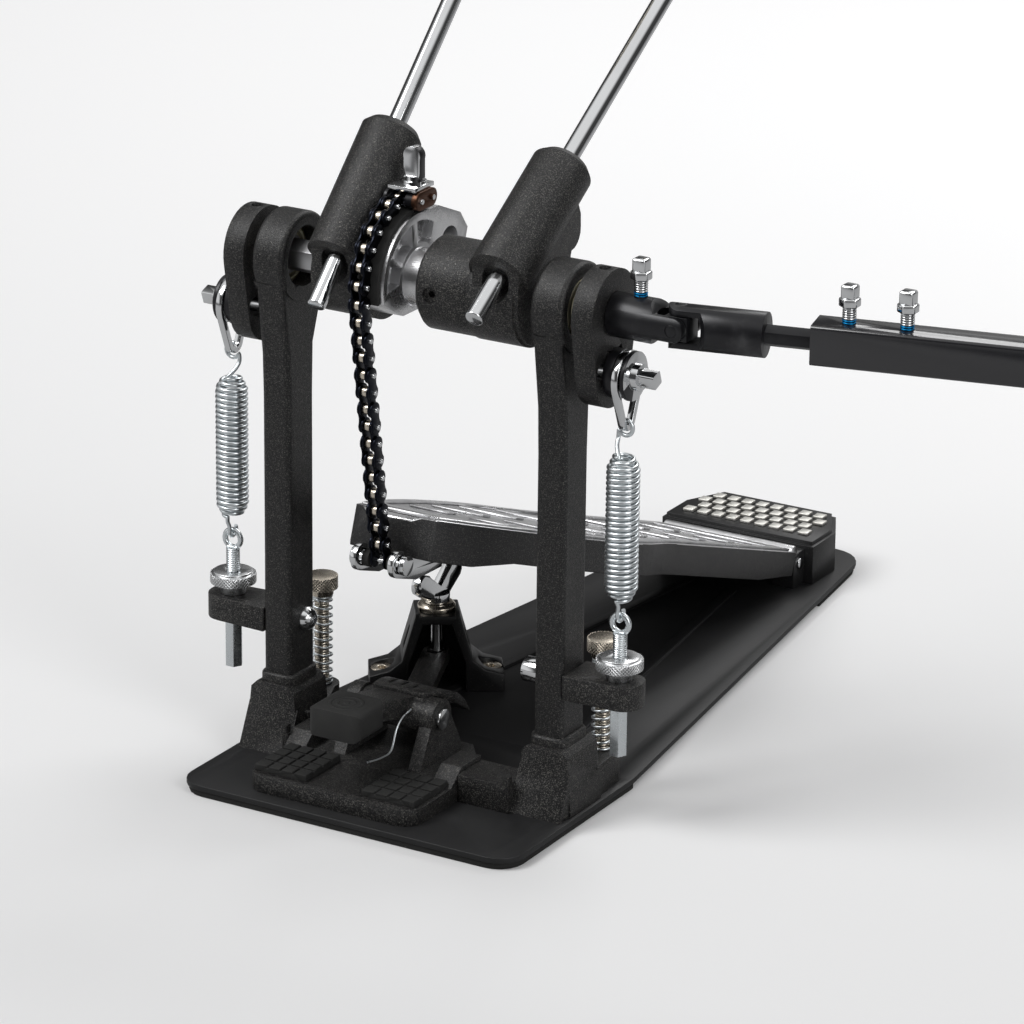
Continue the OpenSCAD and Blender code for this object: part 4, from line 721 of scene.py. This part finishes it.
class PEDAL_OT_axle(PedalOperator, Operator):
    """Axles, cam and straps"""
    bl_idname = "pedal.axle"
    bl_label = "Axle and cam"

    def execute(self, context):
        dress(context.scene.pedal.edge, hex_axle="axle steel", slave_shaft="axle steel", cam="alloy",
              cam_strip="rubber", strap_left="chrome", strap_right="chrome")
        return {"FINISHED"}


class PEDAL_OT_footboard(PedalOperator, Operator):
    """The footboard's inlay and its toe bracket"""
    bl_idname = "pedal.footboard"
    bl_label = "Inlay and toe bracket"

    def execute(self, context):
        dress(context.scene.pedal.cast_edge, footboard_inlay="alloy", toe_bracket="chrome")
        return {"FINISHED"}


class PEDAL_OT_beaters(PedalOperator, Operator):
    """Felt beaters"""
    bl_idname = "pedal.beaters"
    bl_label = "Beaters"

    def execute(self, context):
        dress(context.scene.pedal.felt_ease, beater_left="felt", beater_right="felt")
        return {"FINISHED"}


class PEDAL_OT_shaft(PedalOperator, Operator):
    """Crosses and yokes of the drive shaft's two universal joints"""
    bl_idname = "pedal.shaft"
    bl_label = "Drive shaft"

    def execute(self, context):
        dress(context.scene.pedal.edge, joint_cross="black oxide", middle_yoke="black oxide",
              far_cross="black oxide", far_yoke="black oxide")
        return {"FINISHED"}


# Wires and springs

def wire(name, points, radius, sides=12):
    """A round zinc-plated wire along points in millimetres, as a mesh with closed ends."""
    obj = added(bpy.ops.curve.primitive_nurbs_path_add, name)
    curve = obj.data
    curve.splines.clear()
    spline = curve.splines.new("POLY")
    spline.points.add(len(points) - 1)
    for point, at in zip(spline.points, points):
        point.co = (*(Vector(at) * MM), 1.0)
    curve.dimensions = "3D"
    curve.bevel_depth = radius * MM
    curve.bevel_resolution = max(1, (sides - 4) // 2)
    curve.use_fill_caps = True
    curve.twist_mode = "MINIMUM"
    bpy.ops.object.convert(target="MESH")
    obj = bpy.context.object
    obj.name = name
    obj.data.name = name
    settle(obj)
    edit(obj, (bpy.ops.mesh.remove_doubles, {"threshold": 0.000002}),
         (bpy.ops.mesh.normals_make_consistent, {"inside": False}))
    return paint(smooth(obj, 60.0), finish_of("zinc"))


def on_side(side, points):
    """Points of the right side's piece, mirrored for the left side."""
    return [(side * x, y, z) for x, y, z in points]


def sweep(start, step, count):
    """Angles in radians, from a start and a step in degrees."""
    return [math.radians(start + step * i) for i in range(count)]


def rounded(points, steps=5):
    """Points of a smooth line through the given ones."""
    line = [Vector(p) for p in points]
    line = [2 * line[0] - line[1], *line, 2 * line[-1] - line[-2]]
    out = []
    for a, b, c, d in zip(line, line[1:], line[2:], line[3:]):
        for i in range(steps):
            t = i / steps
            out.append(0.5 * (2 * b + (c - a) * t + (2 * a - 5 * b + 4 * c - d) * t * t
                              + (3 * b - a - 3 * c + d) * t ** 3))
    return [*out, line[-2]]


def coil(x, y, z0, z1, turns, radius, start, narrow=0.0, ease=2.5, per_turn=20):
    """Points of a helix whose ends draw in by narrow over ease turns."""
    n = int(turns * per_turn)
    out = []
    for i in range(n + 1):
        s = i / n
        near = min(1.0, min(s, 1 - s) * turns / ease)
        r = radius - narrow * (1 - near * near * (3 - 2 * near))
        a = start + 2 * math.pi * i / per_turn
        out.append((x + r * math.cos(a), y + r * math.sin(a), z0 + (z1 - z0) * s))
    return out


def spur_wire():
    """Points of the right spur's spring, with a closed turn at each end."""
    turns = coil(*SPUR_AXIS, *SPUR_COIL_Z, SPUR_TURNS, SPUR_COIL_R, 0.0)
    low_turn, high_turn = [coil(*SPUR_AXIS, z, z, 1, SPUR_COIL_R, 0.0) for z in SPUR_COIL_Z]
    return [*low_turn[:-1], *turns, *high_turn[1:]]


def tension_wire():
    """Points of the right tension spring: lower hook, climb, coil, rise and upper hook."""
    x, y = SPRING_AXIS
    low_hook = [(x, y + LOW_HOOK_R * math.sin(a), EYE_Z - LOW_HOOK_R * math.cos(a))
                for a in sweep(120, -11, 21)]
    climb = rounded([low_hook[-2], low_hook[-1], (x, y - LOW_HOOK_R, EYE_Z + 2.2),
                     (x + 0.5, y - LOW_HOOK_R - 0.6, 101.6), (x + 0.05, y - 3.9, SPRING_COIL_Z[0])])
    turns = coil(x, y, *SPRING_COIL_Z, SPRING_TURNS, SPRING_COIL_R, -math.pi / 2, SPRING_NARROW)
    top_hook = [(x + TOP_HOOK_R * math.sin(a), TOP_HOOK_Y, STRAP_BAR_Z - TOP_HOOK_R * math.cos(a))
                for a in sweep(-70, 12, 23)]
    rise = rounded([turns[-2], turns[-1], (x - 1.4, y - 2.6, 169.6), (x - 2.8, y - 0.6, 172.0),
                    (x - TOP_HOOK_R, TOP_HOOK_Y, STRAP_BAR_Z - TOP_HOOK_R - 1.2), top_hook[0], top_hook[1]])
    return [*low_hook, *climb[5:-1], *turns, *rise[6:-6], *top_hook]


class PEDAL_OT_spurs(PedalOperator, Operator):
    """Spurs with their springs"""
    bl_idname = "pedal.spurs"
    bl_label = "Spurs"

    def execute(self, context):
        dress(context.scene.pedal.edge, spur_left="spur", spur_right="spur")
        path = spur_wire()
        for side, name in SIDES:
            spring = wire(f"spur_coil_{name}", on_side(side, path), SPUR_WIRE_R,
                          context.scene.pedal.wire_sides - 2)
            stand_for(f"spur_spring_{name}")
            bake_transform(spring)
        return {"FINISHED"}


class PEDAL_OT_tension_springs(PedalOperator, Operator):
    """Long tension springs with their hooks"""
    bl_idname = "pedal.tension_springs"
    bl_label = "Tension springs"

    def execute(self, context):
        path = tension_wire()
        for side, name in SIDES:
            spring = wire(f"tension_spring_{name}", on_side(side, path), SPRING_WIRE_R,
                          context.scene.pedal.wire_sides)
            stand_for(f"spring_{name}")
            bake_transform(spring)
        return {"FINISHED"}


class PEDAL_OT_cap(PedalOperator, Operator):
    """Rubber cap and bent wire of the clamp"""
    bl_idname = "pedal.cap"
    bl_label = "Rubber cap"

    def execute(self, context):
        dress(context.scene.pedal.edge, rubber_cap="cap rubber")
        place(wire("clamp_spring_wire", rounded(CLAMP_WIRE), CLAMP_WIRE_R), "clamp_wire")
        return {"FINISHED"}


# Chain

def cylinder_across(name, radius, depth, vertices, y=0.0, z=0.0):
    """A cylinder along X."""
    return settle(added(bpy.ops.mesh.primitive_cylinder_add, name, vertices=vertices, radius=radius,
                        depth=depth, location=(0, y, z), rotation=(0, math.pi / 2, 0)))


def shaped_by(body, tool, operation):
    """Unites a tool with a body or cuts it away, and removes the tool."""
    finish_with(body, "BOOLEAN", object=tool, operation=operation, solver="EXACT")
    bpy.data.objects.remove(tool)


def chain_plate():
    """One side plate, a pitch between its pins, waisted and eased, lying along Y from the first pin."""
    body = settle(added(bpy.ops.mesh.primitive_cube_add, "plate", size=1.0, location=(0, PITCH / 2, 0),
                        scale=(PLATE_THICK, PITCH, PLATE_HIGH)))
    for y in (0.0, PITCH):
        shaped_by(body, cylinder_across("plate_end", PLATE_HIGH / 2, PLATE_THICK, 36, y), "UNION")
    for side in (-1, 1):
        waist = cylinder_across("waist", WAIST_R, 0.004, 64, PITCH / 2, side * WAIST_OUT)
        shaped_by(body, waist, "DIFFERENCE")
    edit(body, (bpy.ops.mesh.remove_doubles, {"threshold": 0.00002}),
         (bpy.ops.mesh.dissolve_limited, {"angle_limit": math.radians(1.0)}))
    finish_with(body, "BEVEL", width=0.00016, segments=2, limit_method="ANGLE", angle_limit=math.radians(50))
    return paint(smooth(body, 40.0), finish_of("blued"))


def chain_barrel(radius, half, ease, finish):
    """A roller or pin across the chain with rounded ends."""
    rod = cylinder_across("barrel", radius, 2 * half, 32)
    finish_with(rod, "BEVEL", width=ease, segments=3, limit_method="ANGLE", angle_limit=math.radians(50))
    return paint(smooth(rod, 40.0), finish_of(finish))


def link_places():
    """The chain's pins in YZ metres: round the cam from its top, then down to the toe."""
    axle = Vector((0.0, AXLE_Z))
    first = FIRST_PIN.yz - axle
    step = 2 * math.asin(PITCH / 2 / first.length)
    start = math.atan2(first.y, first.x)
    round_cam = [axle + first.length * Vector((math.cos(start - k * step), math.sin(start - k * step)))
                 for k in range(CAM_PINS)]
    toe = middle("toe_pin").yz
    run = [round_cam[0].lerp(toe, k / RUN_LINKS) for k in range(RUN_LINKS + 1)]
    return round_cam, run


def chain_link(low, high, side, plate, barrel):
    """A link's two plates, side from its middle, and its two pins or rollers."""
    line = high - low
    at = Matrix.Translation((CHAIN_X, *low)) @ Matrix.Rotation(math.atan2(line.y, line.x), 4, "X")
    plates = [copied(plate, "link_plate", at @ Matrix.Translation((x, 0, 0))) for x in (-side, side)]
    barrels = [copied(barrel, "link_barrel", at @ Matrix.Translation((0, y, 0))) for y in (0.0, PITCH)]
    return plates + barrels


class PEDAL_OT_chain(PedalOperator, Operator):
    """Roller chain with waisted plates, rollers and domed pins"""
    bl_idname = "pedal.chain"
    bl_label = "Chain"

    def execute(self, context):
        plate = chain_plate()
        roller = chain_barrel(ROLLER_R, ROLLER_HALF, 0.00025, "nickel")
        pin = chain_barrel(PIN_R, PIN_HALF, 0.0004, "chrome")
        cam, run = link_places()
        outer = (OUTER_PLATE_X, plate, pin)
        inner = (INNER_PLATE_X, plate, roller)
        spans = {"chain_run": [(run[k], run[k + 1], inner if k % 2 else outer) for k in range(RUN_LINKS)],
                 "chain_link_1": [(cam[1], cam[0], inner)],
                 "chain_link_2": [(cam[2], cam[1], outer)],
                 "chain_link_3": [(cam[3], cam[2], inner)],
                 "chain_wrap": [(cam[k + 1], cam[k], outer if k % 2 else inner)
                                for k in range(3, CAM_PINS - 1)]}
        for node, links in spans.items():
            parts = []
            for low, high, kind in links:
                parts += chain_link(low, high, *kind)
            place(joined(parts, f"{node}_links"), node)
        for piece in (plate, roller, pin):
            bpy.data.objects.remove(piece)
        return {"FINISHED"}


# Pieces in several finishes

def divided(obj, *choices):
    """Gives faces other materials: each choice is a test of a face's middle and normal, and the material."""
    for _, material in choices:
        obj.data.materials.append(material)
    first = len(obj.data.materials) - len(choices)
    for face in obj.data.polygons:
        for i, (test, _) in enumerate(choices):
            if test(face.center, face.normal):
                face.material_index = first + i


def within(value, limits):
    """Whether a value lies between two limits."""
    return limits[0] < value < limits[1]


def fix_up(node, edge, finish, *choices):
    """An eased copy of a node with some faces in other finishes, put in the node's place."""
    piece = eased(node, edge, finish_of(finish))
    divided(piece, *[(test, finish_of(other)) for test, other in choices])
    place(piece, node)


class PEDAL_OT_anchor(PedalOperator, Operator):
    """Chain anchor, toe pin and tension pins in their several platings"""
    bl_idname = "pedal.anchor"
    bl_label = "Chain anchor and pins"

    def execute(self, context):
        edge = context.scene.pedal.edge
        fix_up("chain_anchor", edge, "chrome",
               (lambda at, facing: at.x < ANCHOR_END_X or within(at.x, ANCHOR_COLLAR_X), "black oxide"),
               (lambda at, facing: within(at.x, ANCHOR_PLATE_X) and at.z < ANCHOR_PLATE_TOP, "copper"))
        fix_up("toe_pin", edge, "chrome",
               (lambda at, facing: abs(at.x - CHAIN_X) < TOE_SLEEVE_HALF, "rubber"))
        for _, side in reversed(SIDES):
            node = f"tension_pin_{side}"
            centre = middle(node).yz
            fix_up(node, edge, "chrome",
                   (lambda at, facing, c=centre: (at.yz - c).length > TENSION_PIN_BRIGHT_R, "black oxide"))
        return {"FINISHED"}


class PEDAL_OT_board(PedalOperator, Operator):
    """Footboard with polished top edges and the bright bar at its heel"""
    bl_idname = "pedal.board"
    bl_label = "Footboard"

    def execute(self, context):
        board = eased("footboard", 2 * context.scene.pedal.cast_edge, finish_of("board coat"))
        divided(board, (lambda at, facing: 0.35 < facing.z < 0.97 and at.z > 30 * MM, finish_of("alloy")))
        place(smooth(board, 62.0), "footboard")
        node = frame["nodes"]["footboard"]
        points = [node.matrix_world @ vertex.co for vertex in node.data.vertices]
        heel = max(p.y for p in points)
        end = [p for p in points if p.y > heel - 20 * MM]
        wide = max(p.x for p in end) - 2 * MM
        y = heel - 9 * MM
        z = max(p.z for p in end if p.y > heel - 12 * MM) - 1.2 * MM
        strip = bar("heel_bar", Vector((-wide, y, z)), Vector((wide, y, z)), HEEL_BAR_R, 0.0008, "alloy")
        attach(strip, "footboard")
        return {"FINISHED"}


# Pieces that are modelled again, finer than their nodes

def ends_of(node):
    """Centres of the two ends of a long round node, the lower one first."""
    obj = frame["nodes"][node]
    points = [obj.matrix_world @ vertex.co for vertex in obj.data.vertices]
    line = (max(points, key=lambda p: p.z) - min(points, key=lambda p: p.z)).normalized()
    reach = [line.dot(p) for p in points]
    near = [p for p, at in zip(points, reach) if at < min(reach) + 0.003]
    far = [p for p, at in zip(points, reach) if at > max(reach) - 0.003]
    return sum(near, Vector()) / len(near), sum(far, Vector()) / len(far)


def bar(name, low, high, radius, ease, finish, vertices=64):
    """A round bar between two points with rounded ends."""
    line = high - low
    rod = settle(added(bpy.ops.mesh.primitive_cylinder_add, name, vertices=vertices, radius=radius,
                       depth=line.length, location=(low + high) / 2,
                       rotation=line.to_track_quat("Z", "Y").to_euler()))
    finish_with(rod, "BEVEL", width=ease, segments=4, limit_method="ANGLE", angle_limit=math.radians(50))
    return paint(smooth(rod, 40.0), finish_of(finish))


def key_screw(name, seat):
    """Square-headed screw: thread in rings, the lowest with a blue locking patch, then collar and head."""
    up = Vector((0, 0, MM))
    parts = [bar(name, seat - 1 * up, seat + 8 * up, KEY_THREAD_R, 0.0002, "black oxide", 32)]
    for turn in range(KEY_THREAD_TURNS):
        ring = settle(added(bpy.ops.mesh.primitive_torus_add, f"{name}_thread",
                            location=seat + (0.5 + turn) * up, major_radius=KEY_THREAD_R,
                            minor_radius=KEY_RIDGE_R, major_segments=40, minor_segments=10))
        finish = "blue patch" if turn < KEY_PATCH_TURNS else "chrome"
        parts.append(paint(smooth(ring, 60.0), finish_of(finish)))
    collar_low, collar_high = [seat + z * up for z in KEY_COLLAR_Z]
    parts.append(bar(name, collar_low, collar_high, KEY_COLLAR_R, 0.0007, "chrome", 6))
    head = settle(added(bpy.ops.mesh.primitive_cube_add, f"{name}_head", size=KEY_HEAD,
                        location=seat + KEY_HEAD_Z * up))
    finish_with(head, "BEVEL", width=0.0011, segments=4)
    parts.append(paint(smooth(head, 40.0), finish_of("chrome")))
    return joined(parts, name)


def cut_above(obj, height):
    """Takes away what stands over a height, so that a finer piece takes its place."""
    alone(obj)
    bpy.ops.object.mode_set(mode="EDIT")
    bpy.ops.mesh.select_mode(type="FACE")
    bpy.ops.mesh.select_all(action="DESELECT")
    shape = bmesh.from_edit_mesh(obj.data)
    for face in shape.faces:
        face.select_set(face.calc_center_median().z > height)
    bmesh.update_edit_mesh(obj.data)
    bpy.ops.mesh.delete(type="FACE")
    bpy.ops.object.mode_set(mode="OBJECT")
    return obj


def post_collar(node, foot):
    """A rounded collar where a post stands on the casting, whose top is at foot."""
    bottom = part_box(node)[0].z
    shank = [v.co for v in frame["nodes"][node].data.vertices if v.co.z < bottom + MM]
    low = Vector((min(v.x for v in shank), min(v.y for v in shank), foot - MM))
    high = Vector((max(v.x for v in shank), max(v.y for v in shank), foot + COLLAR_HIGH))
    wider = Vector((COLLAR_WIDER, COLLAR_WIDER, 0))
    collar = settle(added(bpy.ops.mesh.primitive_cube_add, f"{node}_collar", size=1.0,
                          location=(low + high) / 2, scale=high - low + wider))
    rounded_off(collar, COLLAR_CORNER, lambda a, b: abs(a.z - b.z) > 3 * MM, 8)
    rounded_off(collar, COLLAR_EASE, lambda a, b: min(a.z, b.z) > foot + 3 * MM)
    return paint(collar, finish_of("powder coat"))


class PEDAL_OT_rods(PedalOperator, Operator):
    """Chromed beater rods"""
    bl_idname = "pedal.rods"
    bl_label = "Beater rods"

    def execute(self, context):
        for node in ("rod_left", "rod_right"):
            place(bar(f"{node}_bar", *ends_of(node), ROD_R, 0.0007, "chrome"), node)
        return {"FINISHED"}


class PEDAL_OT_key_screws(PedalOperator, Operator):
    """Yoke and square tube with their key screws"""
    bl_idname = "pedal.key_screws"
    bl_label = "Key screws"

    def execute(self, context):
        near = joint_place("cross_tilt")
        line = (Vector(joint_place("far_cross_tilt")) - Vector(near)).normalized()
        yoke_screw = Vector((near[0] - YOKE_SCREW, 0, AXLE_Z))
        tube_screws = [Vector(near) + line * at for at in TUBE_SCREWS]
        for node, finish, rise, places in (("near_yoke", "black oxide", YOKE_FLAT, [yoke_screw]),
                                           ("shaft_tube", "gloss black", TUBE_FLAT, tube_screws)):
            body = eased(node, context.scene.pedal.edge, finish_of(finish))
            place(cut_above(body, AXLE_Z + rise + 0.0003), node)
            for number, at in enumerate(places):
                screw = key_screw(f"{node}_key_screw_{number}", at + Vector((0, 0, rise)))
                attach(screw, bodied(node))
        return {"FINISHED"}


class PEDAL_OT_posts(PedalOperator, Operator):
    """Posts with rounded heads and long edges, and the collars at their feet"""
    bl_idname = "pedal.posts"
    bl_label = "Posts"

    def execute(self, context):
        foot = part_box("base_casting")[1].z
        head = AXLE_Z - POST_HEAD
        for node in ("post_left", "post_right"):
            post = eased(node, 0.0, finish_of("post coat"))
            rounded_off(post, POST_HEAD_EASE,
                        lambda a, b: min(a.z, b.z) > head and abs(a.x - b.x) < 0.5 * MM)
            rounded_off(post, POST_SIDE_EASE,
                        lambda a, b: abs(a.z - b.z) > 7 * MM and min(a.z, b.z) > 3 * foot)
            place(post, node)
            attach(post_collar(node, foot), "stand")
        return {"FINISHED"}


# Floor, lights and camera

# Places in metres, angles in degrees, the lens in millimetres; a lamp has a place, a size and watts

CAMERA_AT = (1.03035, -1.69716, 0.84400)
CAMERA_FORWARD = (-0.47298, 0.81233, -0.34120)
CAMERA_HEADING = 30.21
CAMERA_ROLL = 0.64
LENS = 174.25
LAMP_AIM = (0.0, 0.08, 0.12)
LAMPS = (("key_lamp", (-0.9, -0.9, 1.7), (1.0, 1.0), 24.0),
         ("side_lamp", (1.7, -0.7, 1.1), (0.9, 1.2), 12.0),
         ("back_lamp", (0.2, 1.6, 1.5), (1.6, 0.7), 14.0))


def grey(level):
    """A colour without tint."""
    return (level, level, level)


def pale_floor(settings):
    """Matt floor that glows a little far behind, and that metal mirrors darker."""
    s = Shade("pale_floor")
    pale = s.mix(s.noise(3.0, 2.0) * 0.02, settings.floor, grey(0.7))
    y = s.xyz()[1]
    behind = s.ray("Is Camera Ray") * y.fade(-0.4, 1.5)
    s.set(Base_Color=s.mix(s.ray("Is Glossy Ray"), pale, grey(0.46)), Roughness=0.9, Specular_IOR_Level=0.1,
          Emission_Color=s.mix(behind, grey(0.0), grey(0.36)), Emission_Strength=1.0)
    return s.material


def studio():
    """Pale room for the camera and dim light all round, with bright cards that only metal mirrors."""
    s = Shade("studio", "worlds", "Background", "Generated")
    x, y, z = s.xyz()
    standing = z.fade(-0.1, 0.1)
    overhead = z.fade(0.45, 0.85) * 0.9
    left = (y * -0.5 - x * 0.85).fade(0.72, 0.90) * standing * 0.8
    right = (x * 0.93 - y * 0.35).fade(0.80, 0.93) * standing * 0.6
    behind = y.fade(0.80, 0.97) * 0.5
    cards = (overhead + left + right + behind + 0.06).math("MINIMUM", 1.0)
    glossy = s.mix(cards, grey(0.0), grey(0.92))
    lit = s.mix(s.ray("Is Glossy Ray"), (0.27, 0.27, 0.275), glossy)
    s.set(Color=s.mix(s.ray("Is Camera Ray"), lit, grey(0.90)))
    return s.material


def lamp(name, at, size, power):
    """A soft oblong lamp that looks at the pedal."""
    light = added(bpy.ops.object.light_add, name, type="AREA", location=at)
    light.data.shape = "RECTANGLE"
    light.data.size, light.data.size_y = size
    light.data.energy = power
    light.rotation_euler = (Vector(LAMP_AIM) - Vector(at)).to_track_quat("-Z", "Y").to_euler()


def camera_turn():
    """The camera's turn: forward as given, level towards its heading, then rolled."""
    forward = Vector(CAMERA_FORWARD).normalized()
    heading = math.radians(CAMERA_HEADING)
    roll = math.radians(CAMERA_ROLL)
    level = Vector((math.cos(heading), math.sin(heading), 0.0))
    upright = level.cross(forward)
    right = math.cos(roll) * level + math.sin(roll) * upright
    up = -math.sin(roll) * level + math.cos(roll) * upright
    return Matrix((right, up, -forward)).transposed().to_4x4()


class PEDAL_OT_stage(PedalOperator, Operator):
    """Pale floor, soft lamps and the camera"""
    bl_idname = "pedal.stage"
    bl_label = "Stage"

    def execute(self, context):
        floor = added(bpy.ops.mesh.primitive_plane_add, "floor", size=14.0, location=(0, 0, 0))
        paint(settle(floor), pale_floor(context.scene.pedal))
        context.scene.world = studio()
        for settings in LAMPS:
            lamp(*settings)
        lens = bpy.data.cameras.new("camera")
        lens.sensor_width = 36.0
        lens.lens = LENS
        lens.clip_end = 20.0
        camera = bpy.data.objects.new("camera", lens)
        context.scene.collection.objects.link(camera)
        camera.matrix_world = Matrix.Translation(CAMERA_AT) @ camera_turn()
        context.scene.camera = camera
        context.scene.view_settings.view_transform = "Standard"
        return {"FINISHED"}


class PEDAL_PT_sidebar(Panel):
    """Lists the pedal's pieces and choices"""
    bl_idname = "PEDAL_PT_sidebar"
    bl_label = "Double bass drum pedal"
    bl_space_type = "VIEW_3D"
    bl_region_type = "UI"
    bl_category = "Pedal"

    def draw(self, context):
        column = self.layout.column()
        for operator in PIECES:
            column.operator(operator.bl_idname)
        for name in PedalSettings.__annotations__:
            column.prop(context.scene.pedal, name)


PIECES = (PEDAL_OT_frame, PEDAL_OT_posts, PEDAL_OT_castings, PEDAL_OT_fasteners, PEDAL_OT_axle,
          PEDAL_OT_chain, PEDAL_OT_spurs, PEDAL_OT_tension_springs, PEDAL_OT_board, PEDAL_OT_footboard,
          PEDAL_OT_beaters, PEDAL_OT_rods, PEDAL_OT_anchor, PEDAL_OT_shaft, PEDAL_OT_key_screws,
          PEDAL_OT_cap, PEDAL_OT_stage)
CLASSES = (PedalSettings, *PIECES, PEDAL_PT_sidebar)


def register():
    for kind in CLASSES:
        bpy.utils.register_class(kind)
    bpy.types.Scene.pedal = PointerProperty(type=PedalSettings)


def unregister():
    del bpy.types.Scene.pedal
    for kind in reversed(CLASSES):
        bpy.utils.unregister_class(kind)


def main():
    register()
    for operator in PIECES:
        group, name = operator.bl_idname.split(".")
        getattr(getattr(bpy.ops, group), name)()


if __name__ == "__main__":
    main()
